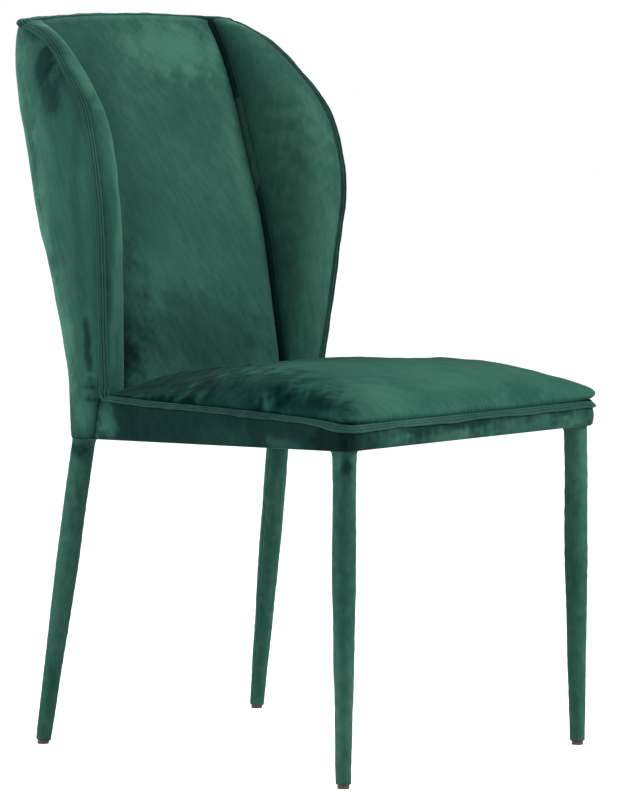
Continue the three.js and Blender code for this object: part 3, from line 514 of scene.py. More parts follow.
def closed_shell(grid):
    """Faces of the closed body between a grid of points and a second one behind it, row by row: both grids
    and the wall between their borders."""
    rows, columns = grid.shape[:2]
    index = np.arange(2 * rows * columns).reshape(2, rows, columns)
    near, far = index
    quads = [np.stack([g[:-1, :-1], g[:-1, 1:], g[1:, 1:], g[1:, :-1]], axis=-1) for g in (near, far)]
    quads = [quad.reshape(-1, 4) for quad in quads]
    border = [np.concatenate([g[0, :-1], g[:-1, -1], g[-1, :0:-1], g[:0:-1, 0]]) for g in (near, far)]
    following = [np.roll(b, -1) for b in border]
    walls = np.stack([following[0], border[0], border[1], following[1]], axis=-1)
    return np.concatenate([quads[0], quads[1][:, ::-1], walls]).tolist()


dust_low, dust_thick = 0.0013, 0.0005  # height of the cloth over the seat's underside, and its thickness
dust_notch, notch_start, notch_length = 0.013, 0.020, 0.009
dust_sag, dust_hem, hem_width = 0.003, 0.0005, 0.012
rear_rail_rear = rear_leg_y + 0.010
dust_front = band_front + rim_inset
along, across = np.meshgrid(np.linspace(0, 1, 90), np.linspace(-1, 1, 90), indexing="ij")
y = dust_front + (rear_rail_rear - dust_front) * along
near_corner = np.minimum(y - dust_front, rear_rail_rear - y)
half = half_width_at(y, rim_inset) - 0.001
corner_cut = leg_radius + dust_notch - rim_inset
notched = half - corner_cut * (1 - ease((near_corner - notch_start) / notch_length))
half = np.where(near_corner < 2 * leg_radius, np.minimum(half, notched), half)
x = across * half
edge = np.minimum(np.minimum(y - dust_front, rear_rail_rear - y), half - np.abs(x))
sag = dust_sag * ease((edge - 0.02) / 0.12)
hem = dust_hem * (1 - ease((edge - hem_width) / 0.001))
pull = 0.0003 * np.sin(2 * np.pi * (x + y) / 0.035) * np.exp(-edge / 0.02)
z = underside_at(y) + dust_low - sag + pull
low = np.stack([x, y, z - hem], axis=-1)
high = np.stack([x, y, z + dust_thick], axis=-1)
shell, faces = np.stack([low, high]), closed_shell(low)
dust = new_piece("dust_cloth", shell, faces, black_cloth(), ["dust_cover"])


# Staples: thin zinc plated wire bridges, shot through the dust cover into the rails, in a row along each of
# its four sides.
staple_width, staple_wire = 0.010, 0.0004
staple_pitch, staple_inset = 0.032, 0.006
staple_row = 0.145  # half the length of the rows along the front and the rear
staple_shape = np.array([
    # place along the staple, as a share of its width, and height over the cloth
    (-0.5, 0.0014),
    (-0.5, -0.0004),
    (-0.42, -0.0008),
    (0.42, -0.0008),
    (0.5, -0.0004),
    (0.5, 0.0014),
])


def wire_rings(paths, radius, around=6):
    """Rings round many short paths at once; paths is (count, steps, 3), and the result has a ring a step."""
    along = np.gradient(paths, axis=1)
    along /= np.linalg.norm(along, axis=-1, keepdims=True)
    helper = np.where(np.abs(along[..., 2:]) < 0.9, [0.0, 0.0, 1.0], [1.0, 0.0, 0.0])
    first = np.cross(along, helper)
    first /= np.linalg.norm(first, axis=-1, keepdims=True)
    second = np.cross(along, first)
    angle = np.linspace(0, 2 * np.pi, around, endpoint=False)
    ring = np.cos(angle)[:, None] * first[..., None, :] + np.sin(angle)[:, None] * second[..., None, :]
    return paths[..., None, :] + np.broadcast_to(radius, paths.shape[:2])[..., None, None] * ring


def many_lofts(rings):
    """Points and faces of many lofted pieces, from rings of shape (count, steps, around, 3)."""
    count, steps, around = rings.shape[:3]
    single = loft(rings[0])
    faces = [[vertex + part * steps * around for vertex in face] for part in range(count) for face in single]
    return rings.reshape(-1, 3), faces


steps = np.arange(dust_front + 0.05, rear_rail_rear - 0.04, staple_pitch)
rows = []
for side in (-1, 1):
    spots = np.stack([side * (half_width_at(steps, rim_inset) - staple_inset), steps], axis=-1)
    rows.append((spots, np.array([side * -math.sin(side_turn), math.cos(side_turn)])))
for y_row in (dust_front + staple_inset, rear_rail_rear - staple_inset):
    spots = np.arange(-staple_row, staple_row, staple_pitch)
    rows.append((np.stack([spots, np.full_like(spots, y_row)], axis=-1), np.array([1.0, 0.0])))
middle = np.concatenate([spots for spots, _ in rows])
heading = np.concatenate([np.tile(way, (len(spots), 1)) for spots, way in rows])
flat_path = middle[:, None] + staple_shape[:, 0][:, None] * staple_width * heading[:, None]
height = underside_at(flat_path[..., 1]) + dust_low + staple_shape[:, 1]
points, faces = many_lofts(wire_rings(np.concatenate([flat_path, height[..., None]], axis=-1), staple_wire))
new_piece("dust_cover_staples", points, faces, zinc, crease=70)


# Seat band: strips of velvet round the seat under its sewn edge, turned under at the bottom, with a seam at
# each front corner and one at the side panels.
seat_seam_front, seat_seam_rear = 0.4315, 0.443
flange_width, flange_thick = 0.010, 0.004
front_flange_width, side_flange_width = 0.0102, 0.0092
side_droop, front_droop = math.radians(48), math.radians(51)
back_base = seat_seam_rear - gap
back_height, back_rake = 0.456, 0.0945
wing_width, wing_reach = 0.456, 0.162
corner_back = rear_leg_y + back_rake
half_wing = wing_width / 2
cover_foot = (underside_at(rear_leg_y) - back_base) / back_height
wing_edge = [
    # height, width, forward: shares of the back's height, of half the wings' width and of the wings' reach
    (cover_foot, 0.886, 0.803),
    (cover_foot * 0.24, 0.882, 0.845),
    (0.03, 0.883, 0.9),
    (0.18, 0.922, 0.94),
    (0.35, 0.958, 0.978),
    (0.535, 1, 1),
    (0.69, 0.996, 0.92),
    (0.785, 0.963, 0.795),
    (0.89, 0.915, 0.53),
    (0.95, 0.875, 0.345),
    (0.985, 0.858, 0.165),
    (1, 0.855, 0),
]


def track(rows, column, at):
    """A column's value at given heights: cubics between the rows, with slopes taken from their neighbours."""
    table = np.array(rows)
    height, value = table[:, 0], table[:, column]
    last = len(height) - 1
    low, high = np.maximum(np.arange(last + 1) - 1, 0), np.minimum(np.arange(last + 1) + 1, last)
    slope = (value[high] - value[low]) / (height[high] - height[low])
    at = np.asarray(at, float)
    i = np.searchsorted(height[1:-1], at, side="left")
    span = height[i + 1] - height[i]
    t = (at - height[i]) / span
    plain = value[i] * (1 + 2 * t) * (1 - t) ** 2 + value[i + 1] * t * t * (3 - 2 * t)
    return plain + span * (slope[i] * t * (1 - t) ** 2 - slope[i + 1] * t * t * (1 - t))


def edge_at(h):
    """Points of the right wing's seam at shares of the back's height."""
    h = np.asarray(h, float)
    forward = corner_back - wing_reach * track(wing_edge, 2, h)
    return np.stack([half_wing * track(wing_edge, 1, h), forward, back_base + back_height * h], axis=-1)


wing_foot_y = float(edge_at(0.0)[1])
side_arch = 0.0034


def seam_height_at(y):
    """Height of the seam round the seat: a straight rise from the front to the wings, arched on the sides."""
    share = np.clip((y - band_front) / (wing_foot_y - band_front), 0, 1)
    arch = side_arch * np.sin(np.pi * np.minimum(1, share / 0.8) ** 0.65)
    return seat_seam_front + (seat_seam_rear - seat_seam_front) * share + arch


corner_arc = corner_radius * (math.pi / 2 + side_turn)
corner_split = corner_x + corner_radius * math.pi / 4  # the front strips end here, in the middle of a corner
side_start_y = corner_y + corner_radius * math.sin(side_turn)
corner_fill = 0.0035  # the padding fills the corners out by this much


def seat_outline(distance):
    """Places and outward directions along the seat's outline, by the distance from the middle of its front;
    it is straight, then an arc round the corner, then straight again, and mirrored for distances below 0."""
    far = np.abs(distance)
    angle = np.clip((far - corner_x) / corner_radius, 0, math.pi / 2 + side_turn) - math.pi / 2
    past = np.maximum(0, far - corner_x - corner_arc)
    x = np.minimum(far, corner_x) + corner_radius * np.cos(angle) - past * math.sin(side_turn)
    y = corner_y + corner_radius * np.sin(angle) + past * math.cos(side_turn)
    full = corner_fill * np.exp(-(((far - corner_split) / 0.02) ** 2))
    x, y = x + full * np.cos(angle), y + full * np.sin(angle)
    sign = np.where(distance < 0, -1.0, 1.0)
    return sign * x, y, sign * np.cos(angle), np.sin(angle)


def outline_distance(y):
    """Distance along the outline at which its straight side reaches y."""
    return corner_x + corner_arc + (y - side_start_y) / math.cos(side_turn)


def droop_at(x):
    """How steeply the sewn edge hangs: most in the middle of the front, less at the corners and sides."""
    return front_droop + (side_droop - front_droop) * np.clip(np.abs(x) / corner_x, 0, 1) ** 6


def wavy(distance):
    """Uneven rise and fall of the sewn edge along the seat, as it is sewn by hand."""
    turn = 2 * np.pi * distance
    rise = 0.0008 * np.sin(turn / 0.17 + 0.6) + 0.0004 * np.sin(turn / 0.071 + 2.1)
    corner = 0.0008 * np.exp(-(((np.abs(distance) - corner_split) / 0.04) ** 2))
    return rise * ease((0.55 - np.abs(distance)) / 0.08) - corner


band_rear = float(edge_at(cover_foot)[1]) - 2 * gap
band_lead = float(edge_at(cover_foot)[1] - edge_at(-0.015)[1])  # how far its rear end leans forward
band_turn, band_bulge = 0.0030, 0.0021


def band_rings(distance, seed):
    """Rings round the band's section, one for each distance: up the outer face, over the top, down inside."""
    x, y, nx, ny = seat_outline(distance)
    droop = droop_at(x)
    top = seam_height_at(y) - cover_wall * np.tan(droop) - (flange_thick / 2 + gap) / np.cos(droop)
    foot = underside_at(y)
    turn = np.linspace(0, np.pi / 2, 5)
    level_up = np.linspace(0.08, 1, 16)
    inside = [cover_wall / 2, cover_wall, cover_wall, cover_wall]
    depth = np.concatenate([band_turn * (1 - np.sin(turn)), np.zeros(16), inside])
    level = np.concatenate([0 * turn, level_up, [1.0, 1.0, 0.5, 0.0]])
    lift = np.concatenate([band_turn * (1 - np.cos(turn)), np.zeros(20)])
    z = foot[:, None] + (top - foot)[:, None] * level + lift
    face = np.concatenate([np.zeros(5), np.ones(16), np.zeros(4)])
    bulge = face * band_bulge * np.sin(np.pi * level)
    place = np.stack([x[:, None] + 0 * z, y[:, None] + 0 * z, z], axis=-1)
    uneven = 0.0007 * waves(place, 0.05, seed) + 0.00035 * waves(place * [1, 1, 0.3], 0.014, seed + 1)
    inward = depth - bulge - face * uneven * np.sin(np.pi * np.clip(level, 0.04, 1)) ** 0.5
    lead = level * band_lead * np.clip((y - corner_y) / (band_rear - corner_y), 0, 1)[:, None]
    widen = np.sign(x)[:, None] * lead * math.tan(side_turn)
    x = x[:, None] - nx[:, None] * inward + widen
    y = y[:, None] - ny[:, None] * inward - lead
    return np.stack([x, y, z], axis=-1)


def steps_between(start, end, step=0.003):
    """Even values from start to end, at most a step apart."""
    return np.linspace(start, end, int(abs(end - start) / step) + 2)


# The marks lighten the band where more light reaches it, most along the front, as painted light, and darken
# its left front corner.
band_marks = [
    ((-0.203, 0.118, 0.411), (0.02, 0.022, 0.026), 0.5),
    ((-0.200, 0.145, 0.400), (0.02, 0.03, 0.012), 0.2),
    ((-0.222, -0.10, 0.403), (0.02, 0.06, 0.016), 0.16),
    ((-0.229, -0.19, 0.402), (0.02, 0.04, 0.013), 0.3),
    ((-0.236, -0.27, 0.41), (0.02, 0.04, 0.03), -0.2),
    ((-0.16, -0.298, 0.412), (0.05, 0.03, 0.02), 0.34),
    ((-0.05, -0.298, 0.404), (0.09, 0.03, 0.016), 0.48),
    ((0.10, -0.298, 0.406), (0.12, 0.03, 0.02), 0.42),
    ((0.20, -0.295, 0.41), (0.05, 0.03, 0.03), 0.3),
    ((0.235, -0.10, 0.41), (0.04, 0.20, 0.04), 0.2),
]
band_cloth = velvet("velvet_band", (0.5, 0.5, 0))
band_end = outline_distance(band_rear)
band_runs = {
    "front": steps_between(-corner_split + gap / 2, corner_split - gap / 2),
    "left": steps_between(-corner_split - gap / 2, -band_end),
    "right": steps_between(corner_split + gap / 2, band_end),
}
for place, run in band_runs.items():
    rings = band_rings(run, 31)
    # The band's dark tone is painted shade under the drooping sewn edge.
    pile = nap_with_painted_light(rings, 0.15, band_marks, 31)
    faces, nodes = loft(rings), [f"seat_band_{place}"]
    piece = new_piece(f"band_{place}", rings, faces, band_cloth, nodes, pile=pile)


# Seat cushion: foam under velvet, crowned over its whole width and falling to the back, its velvet pulled
# into the seam all round, with small gathers above the seam.
seat_crown, seat_rear_y = 0.046, 0.137
front_power, rear_power = 9, 1.57  # squareness of the crown's arch from side to side, in front and behind
rear_fall, corner_fall = 0.52, 0.15
gather_length, gather_depth = 0.0056, 0.0012
seat_puff, corner_puff = 0.0038, 0.009  # how far the padding stands out over the seam and at the corners
top_disc_thick, rail_height, seat_board_thick = 0.002, 0.018, 0.008
rail_foot = top_disc_thick + 2 * gap
board_foot = rail_foot + rail_height + gap
cushion_base = board_foot + seat_board_thick + gap
centre_seam = [
    # height, width, forward as a share of the back's rake, share of the padding
    (cover_foot, 0.66, 1.172, 1),
    (0, 0.663, 1.156, 1),
    (0.24, 0.67, 0.967, 1),
    (0.44, 0.676, 0.779, 1),
    (0.635, 0.682, 0.534, 0.8),
    (0.82, 0.688, 0.312, 0.5),
    (0.92, 0.691, 0.168, 0.2),
    (0.975, 0.693, 0.04, 0.05),
    (1, 0.693, -0.046, 0),
]
rear_corner = [
    # height, width, forward as a share of the back's rake, bow of the rear as a share of its bow at the top
    (cover_foot, 0.877, 0.846, 0.15),
    (0, 0.885, 0.814, 0.3),
    (0.094, 0.89, 0.751, 0.45),
    (0.287, 0.9, 0.518, 0.6),
    (0.524, 0.91, 0.223, 0.7),
    (0.678, 0.912, 0.077, 0.8),
    (0.807, 0.908, -0.063, 0.9),
    (0.906, 0.892, -0.151, 0.97),
    (0.955, 0.878, -0.146, 1),
    (0.985, 0.866, -0.094, 1),
    (1, 0.86, -0.031, 1),
]
padding = 0.022
top_rise, top_bow = 0.007, 0.018
panel_hollow, panel_crown, side_crown = 0.010, 0.008, 0.006
rear_round, rear_round_share = 0.026, 0.28
centre_share = 0.6  # of half a section's width, up to the seam between the centre and the wing
top_half = half_wing * wing_edge[-1][1]


def unit(vectors):
    """The vectors scaled to a length of 1."""
    return vectors / np.linalg.norm(vectors, axis=-1, keepdims=True)


def crown_at(x, h):
    """Rise of the top edge, highest in the middle and fading out below the top."""
    return top_rise * (1 - np.clip(np.abs(x) / top_half, 0, 1) ** 2) * np.clip(h, 0, 1) ** 8


def edge_frame(h):
    """Directions at the right wing's seam: out of it as the sewn edge stands, and back."""
    along = unit(edge_at(np.minimum(1, h + 0.01)) - edge_at(h - 0.01))
    lift = -0.45 * np.clip((h - 0.9) / 0.1, 0, 1)
    out = np.stack([np.ones_like(lift), np.zeros_like(lift), lift], axis=-1)
    out = unit(out - along * (out * along).sum(-1, keepdims=True))
    return out, -unit(np.cross(out, along))


def bezier(controls, t):
    """Point of the Bezier curve on the given controls: repeated straight mixing by t."""
    t = t[..., None]
    while len(controls) > 1:
        controls = [a + (b - a) * t for a, b in zip(controls, controls[1:])]
    return controls[0]


def rear_y(x, h):
    """Place of the outer back: its corners' line, bowed out between them."""
    bow = top_bow * track(rear_corner, 3, h)
    bowed = bow * (1 - np.clip(np.abs(x) / (half_wing * track(rear_corner, 1, h)), 0, 1) ** 2)
    return corner_back - back_rake * track(rear_corner, 2, h) + bowed


def wing_front(v, h):
    """Front of the right wing: a cubic curve rolls from the sewn edge, v = 0, over to the centre seam."""
    start = edge_at(h) - edge_frame(h)[1] * flange_thick / 2
    start[..., 0] -= (cover_wall + 3 * gap) * np.clip((-0.011 - h) / 0.004, 0, 1)
    seam_x = half_wing * track(centre_seam, 1, h)
    seam_y = corner_back - back_rake * track(centre_seam, 2, h) - padding * track(centre_seam, 3, h)
    end = np.stack([seam_x, seam_y, back_base + back_height * h + crown_at(seam_x, h)], axis=-1)
    chord = np.linalg.norm(end - start, axis=-1)[..., None]
    roll = chord * np.minimum(1, 0.35 + 2.5 * np.clip(h, 0, 1))[..., None]
    first = start - chord * [0.4, 0, 0] - roll * [0, 0.15, 0]
    second = end - roll * [0, 0.42, 0]
    return bezier([start, first, second, end], v)


def wing_outer(v, h):
    """Outside of the right half: along the side panel, round the rear corner, and in to the seam's width."""
    start = edge_at(h) + edge_frame(h)[1] * flange_thick / 2
    level = back_base + back_height * h
    corner_width = half_wing * track(rear_corner, 1, h)
    sharp = np.stack([corner_width, rear_y(corner_width, h), level], axis=-1)
    side = np.linalg.norm(sharp - start, axis=-1)
    radius = np.minimum(rear_round, side * rear_round_share)
    before = sharp + (start - sharp) * (radius / side)[..., None]
    after_x = corner_width - radius
    after = np.stack([after_x, rear_y(after_x, h), level + crown_at(after_x, h)], axis=-1)
    s = np.clip(v / 0.5, 0, 1)
    on_side = start + (before - start) * s[..., None]
    on_side[..., 0] += side_crown * np.minimum(1, side / wing_reach) * np.sin(np.pi * s) ** 0.8
    on_round = bezier([before, sharp, after], np.clip((v - 0.5) / 0.25, 0, 1))
    seam_x = half_wing * track(centre_seam, 1, h)
    x = after_x + (seam_x - after_x) * np.clip((v - 0.75) / 0.25, 0, 1)
    on_rear = np.stack([x, rear_y(x, h), level + crown_at(x, h)], axis=-1)
    v = v[..., None]
    return np.where(v <= 0.5, on_side, np.where(v <= 0.75, on_round, on_rear))


def both_sides(half_surface, middle_surface, w, h):
    """A surface over the whole width, w from -1 to 1: the middle as it is, the wings mirrored."""
    w, h = np.broadcast_arrays(np.asarray(w, float), np.asarray(h, float))
    outer = half_surface(np.clip((1 - np.abs(w)) / (1 - centre_share), 0, 1), h)
    outer[..., 0] *= np.where(w < 0, -1, 1)
    return np.where((np.abs(w) > centre_share)[..., None], outer, middle_surface(w / centre_share, h))


def centre_front(u, h):
    """Front of the centre panel: hollow from side to side, its padding proud of the seams."""
    x = u * half_wing * track(centre_seam, 1, h)
    seam_y = corner_back - back_rake * track(centre_seam, 2, h) - padding * track(centre_seam, 3, h)
    top_hollow = top_bow * (1 - (centre_seam[-1][1] / rear_corner[-1][1]) ** 2)
    hollow = panel_hollow + (top_hollow - panel_hollow) * np.clip(h, 0, 1) ** 8
    proud = panel_crown * (1 - np.abs(u) ** 7) * (1 - np.clip(h, 0, 1) ** 12)
    y = seam_y + hollow * (1 - u * u) - proud
    return np.stack([x, y, back_base + back_height * h + crown_at(x, h)], axis=-1)


def centre_outer(u, h):
    """Outside behind the centre panel: the outer back over the panel's width."""
    x = u * half_wing * track(centre_seam, 1, h)
    return np.stack([x, rear_y(x, h), back_base + back_height * h + crown_at(x, h)], axis=-1)


def front_point(w, h):
    """Front of the back, w from -1 to 1 across and h upwards: the centre panel with a wing on each side."""
    return both_sides(wing_front, centre_front, w, h)


def outer_point(w, h):
    """Outside of the back at w and h: both side panels, the rear corners and the outer back."""
    return both_sides(wing_outer, centre_outer, w, h)


rim_share = 0.02  # of the seat's depth and half width; the wall above the seam has closer rows there
rear_room = 0.0012  # between the cushion's rear and the back
low_corner_reach = 0.0100  # how much further back its low rear corners reach, under the wings' edges
wall = np.linspace(0, 1, 15)
open_rows = rim_share + (1 - rim_share) * np.linspace(0, 1, 131) ** 1.15
seat_rows = np.concatenate([rim_share * wall[:-1] ** 3.3, open_rows])
half_columns = np.concatenate([np.linspace(0, 1 - rim_share, 197), 1 - rim_share * (1 - wall[1:]) ** 2.4])
seat_columns = np.concatenate([-half_columns[:0:-1], half_columns])
seat_front = band_front + rim_inset
cushion_foot = (underside_at(wing_foot_y) + cushion_base - back_base) / back_height


def back_face_at(x):
    """Foremost place of the back over the height of the seat cushion's rear face."""
    w = np.linspace(0, 1, 400)
    faces = []
    for h in np.linspace(cushion_foot, 0.06, 7):
        line = front_point(w, np.full_like(w, h))
        faces.append(np.interp(x, np.maximum.accumulate(line[:, 0]), line[:, 1]))
    return np.min(faces, axis=0)


rear_half = half_width_at(np.array(seat_rear_y), rim_inset)
rear_edges = back_face_at(np.abs(seat_columns) * rear_half) - rear_room
rear_edges += low_corner_reach * np.abs(seat_columns) ** 20


def facing(front, back):
    """Unit normals of a grid of points, on the side away from the grid behind it."""
    normal = unit(np.cross(np.gradient(front, axis=1), np.gradient(front, axis=0)))
    return normal * np.sign((normal * (front - back)).sum())


def from_edges(points):
    """Distances over the surface from its four edges: left, right, bottom and top."""
    across = np.linalg.norm(np.diff(points, axis=1), axis=-1)
    up = np.linalg.norm(np.diff(points, axis=0), axis=-1)
    left = np.concatenate([np.zeros((len(points), 1)), np.cumsum(across, axis=1)], axis=1)
    bottom = np.concatenate([np.zeros((1, points.shape[1])), np.cumsum(up, axis=0)], axis=0)
    return left, left[:, -1:] - left, bottom, bottom[-1:] - bottom


def finer(grid, rows, columns):
    """The same grid with more rows and columns; each new line is a cubic mix of the four nearest ones."""
    for axis, count in ((0, rows), (1, columns)):
        last = grid.shape[axis] - 1
        at = np.linspace(0, last, count)
        low = np.clip(at.astype(int), 0, last - 1)
        t = (at - low).reshape((-1, 1, 1) if axis == 0 else (1, -1, 1))
        before = (((2 - t) * t - 1) * t / 2, ((3 * t - 5) * t * t + 2) / 2)
        weights = (*before, ((4 - 3 * t) * t + 1) * t / 2, (t - 1) * t * t / 2)
        near = (np.take(grid, np.clip(low + k - 1, 0, last), axis) for k in range(4))
        grid = sum(weight * line for weight, line in zip(weights, near))
    return grid


def billow(face, inside, steps, cap):
    """How a padded panel swells: its closed skin as cloth under pressure, held along its seams and behind.
    The cloth has a point at every few lines of the panel; its movement is kept under the cap and smoothed."""
    coarse, base = face[:: steps[0], :: steps[1]], inside[:: steps[0], :: steps[1]]
    mesh = bpy.data.meshes.new("cloth")
    mesh.from_pydata(np.stack([coarse, base]).reshape(-1, 3), [], closed_shell(coarse))
    skin = bpy.data.objects.new("cloth", mesh)
    bpy.context.scene.collection.objects.link(skin)
    held = np.ones((2, *coarse.shape[:2]), bool)
    held[0, 1:-1, 1:-1] = False
    skin.vertex_groups.new(name="held").add(np.flatnonzero(held.ravel()).tolist(), 1.0, "REPLACE")
    cloth = skin.modifiers.new("cloth", "CLOTH")
    cloth.settings.vertex_group_mass = "held"
    cloth.settings.use_pressure = True
    cloth.settings.uniform_pressure_force = 4
    cloth.settings.bending_stiffness = 0.5
    cloth.settings.effector_weights.gravity = 0
    for number in range(1, 21):
        bpy.context.scene.frame_set(number)
    swollen = skin.evaluated_get(bpy.context.evaluated_depsgraph_get()).data
    points = np.empty(len(swollen.vertices) * 3, np.float32)
    swollen.vertices.foreach_get("co", points)
    bpy.data.objects.remove(skin)
    bpy.data.meshes.remove(mesh)
    bpy.context.scene.frame_set(1)
    moved = points.reshape(2, *coarse.shape)[0] - coarse
    size = np.linalg.norm(moved, axis=-1, keepdims=True)
    moved *= cap * np.tanh(size / cap) / np.maximum(size, 1e-9)
    for _ in range(3):
        moved[1:-1] = (moved[:-2] + 2 * moved[1:-1] + moved[2:]) / 4
        moved[:, 1:-1] = (moved[:, :-2] + 2 * moved[:, 1:-1] + moved[:, 2:]) / 4
    return finer(moved, *face.shape[:2])


def pleats(distance, length, seed):
    """Small gathers along a seam, from -1 to 1: sine waves whose length drifts along it."""
    draw = np.random.default_rng(seed)
    drift = 0
    for longer in (5, 8, 13):
        share, start = draw.uniform(0.4, 1), draw.uniform(0, 6)
        drift = drift + share * np.sin(2 * np.pi * distance / (length * longer) + start)
    return np.sin(2 * np.pi * distance / length + 1.6 * drift)


def seat_surface(t, u, seed):
    """Top of the seat over t, from the front back, and u, across. Its rise over its seam is a flat arch whose
    squareness changes from front to back; it falls away to the back and at the corners."""
    t, u = np.meshgrid(t, u, indexing="ij")
    y = seat_front + (rear_edges[None] - seat_front) * t
    x = u * half_width_at(y, rim_inset)
    power = front_power + (rear_power - front_power) * t
    across = np.maximum(0, 1 - np.abs(u) ** power) ** 0.41
    front = np.maximum(0, 1 - (1 - np.clip(t / 0.6, 0, 1)) ** 5.4) ** 0.3
    fall = np.clip((t - 0.4) / 0.6, 0, 1)
    corner = np.hypot(np.abs(x) - side_at(seat_front) + rim_inset, y - seat_front)
    slack = 0.88 - 0.72 * fall * np.clip((np.abs(u) - 0.35) / 0.65, 0, 1)
    rise = seat_crown * slack * across * front * (1 - rear_fall * fall**2)
    rise *= 1 - corner_fall * np.exp(-((corner / 0.03) ** 2))
    points = np.stack([x, y, seam_height_at(y) + rise], axis=-1)
    inside = np.minimum(1 - np.abs(u), t * 2)
    soft = 1 - np.exp(-inside / 0.05)
    points[..., 2] += soft * (0.0005 * waves(points, 0.11, seed) + 0.0003 * waves(points, 0.035, seed + 1))
    return points


seat_top = seat_surface(seat_rows, seat_columns, 41)
seat_base = seat_top.copy()
seat_base[..., 2] = underside_at(seat_base[..., 1]) + cushion_base
to_back = ease((1 - seat_rows) / 0.4)[:, None]  # what swells does so less and less towards the back
seat_top += billow(seat_top, seat_base, (3, 6), 0.004) * to_back[..., None]
# The place along the rim is x in front, and on the sides half the front and the way back from it.
seat_x, way_back = seat_top[..., 0], seat_top[..., 1] - seat_front
front_half, corner_line = 0.236, 0.24
near_front = way_back < corner_line - np.abs(seat_x)
rim_run = np.where(near_front, seat_x, np.sign(seat_x) * (front_half + way_back))
rim = np.minimum.reduce(from_edges(seat_top)[:3])
off_rim = 1 - np.exp(-rim / 0.003)
from_corner = np.hypot(np.abs(seat_x) - side_at(seat_front) + rim_inset, way_back)
gathers = pleats(rim_run, gather_length, 43) * np.clip(0.6 + 0.5 * np.sin(rim_run * 45 + 1.3), 0.15, 1)
gathers *= np.exp(-rim / 0.005) * (1 - np.exp(-rim / 0.001)) * (0.3 + 0.7 * near_front)
gathers *= 1 - np.exp(-((from_corner / 0.035) ** 2))
puff = seat_puff * np.exp(-rim / 0.02) * off_rim * to_back
seat_top += facing(seat_top, seat_base) * (gather_depth * gathers + puff)[..., None]
filled = corner_puff * np.exp(-((from_corner / 0.04) ** 2)) * off_rim
seat_top += np.stack([np.sign(seat_top[..., 0]) * filled, -filled, 0.2 * filled], axis=-1)
# Patches of nap, darker over the left half; the long dark mark across the rear, where the seat meets the
# back, is painted shade.
seat_marks = [
    ((-0.15, 0.06, 0.46), (0.11, 0.14, 0.07), -0.50),
    ((-0.20, -0.10, 0.46), (0.08, 0.14, 0.06), -0.36),
    ((-0.235, -0.22, 0.45), (0.04, 0.09, 0.05), -0.38),
    ((-0.215, -0.21, 0.441), (0.02, 0.03, 0.008), 0.25),
    ((0.05, 0.09, 0.475), (0.22, 0.08, 0.035), -0.25),
    ((-0.02, 0.0, 0.485), (0.12, 0.05, 0.03), -0.10),
    ((0.06, -0.20, 0.47), (0.17, 0.14, 0.06), 0.06),
    ((-0.14, -0.27, 0.455), (0.05, 0.05, 0.03), 0.12),
    ((0.10, -0.285, 0.45), (0.04, 0.03, 0.02), -0.12),
    ((-0.02, -0.288, 0.45), (0.14, 0.03, 0.014), -0.10),
]
seat_cloth = velvet("velvet_seat", (0, 0, 0.7), (26, 150, 60), sheen=0.1, gloss=0.0)
seat_nap_and_painted_light = nap_with_painted_light(seat_top, 0.7, seat_marks, 41)
# Painted shade: darker along the seam all round and in the hollows of the gathers.
seat_nap_and_painted_light -= 0.25 * np.exp(-rim / 0.0025) + 0.35 * np.clip(-gathers, 0, 1)
seat_nap_and_painted_light = np.stack([seat_nap_and_painted_light, seat_nap_and_painted_light])
shell, faces = np.stack([seat_top, seat_base]), closed_shell(seat_top)
seat = new_piece("seat_pad", shell, faces, seat_cloth, ["seat_cushion"], pile=seat_nap_and_painted_light)


# Back cushions: a centre panel and two wings, foam under velvet, sewn to each other in two long seams and
# drawn into the sewn edge all round.
gap_share = gap / wing_width
top_lip, lip_reach = 0.0016, 0.006
fold_length, fold_depth = 0.013, 0.00035  # of the gathers beside the seams
painted_seam_shade, shade_reach = 0.34, 0.005  # painted shade: how much darker a seam is painted, and how far beside it
# How far velvet is drawn in close to a seam and around it: between the cushions, at the sewn edges, and at
# the foot of the covers.
seam_pull, edge_pull, foot_pull, no_pull = (0.0035, 0.0022), (0.0022, 0.0012), (0.0010, 0.0004), (0, 0)


def layer(w, h, depth, outer=False):
    """Points at a depth under the front of the back, or under its outside; below the cushions' foot the
    covers slope with the seat's underside."""
    front, back = front_point(w, h), outer_point(w, h)
    if outer:
        front, back = back, front
    room = np.linalg.norm(back - front, axis=-1)
    share = np.minimum(depth, room / 2 - gap) / room
    points = front + (back - front) * share[..., None]
    drop = np.clip((h - cushion_foot) / (cover_foot - cushion_foot), 0, 1)
    points[..., 2] += drop * (underside_at(points[..., 1]) - underside_at(rear_leg_y))
    return points


def spread(count, start, end, tight=0.6):
    """Values from start to end that lie closer together at both ends."""
    s = np.linspace(0, 1, count)
    return start + (end - start) * ((1 - tight) * s + tight * (1 - np.cos(np.pi * s)) / 2)


def drawn_in(distance, deep, soft):
    """How far velvet is drawn in beside a seam: steep close to it, and soft further off."""
    return deep * np.exp(-distance / (deep * 1.1)) + soft * np.exp(-distance / (soft * 6))


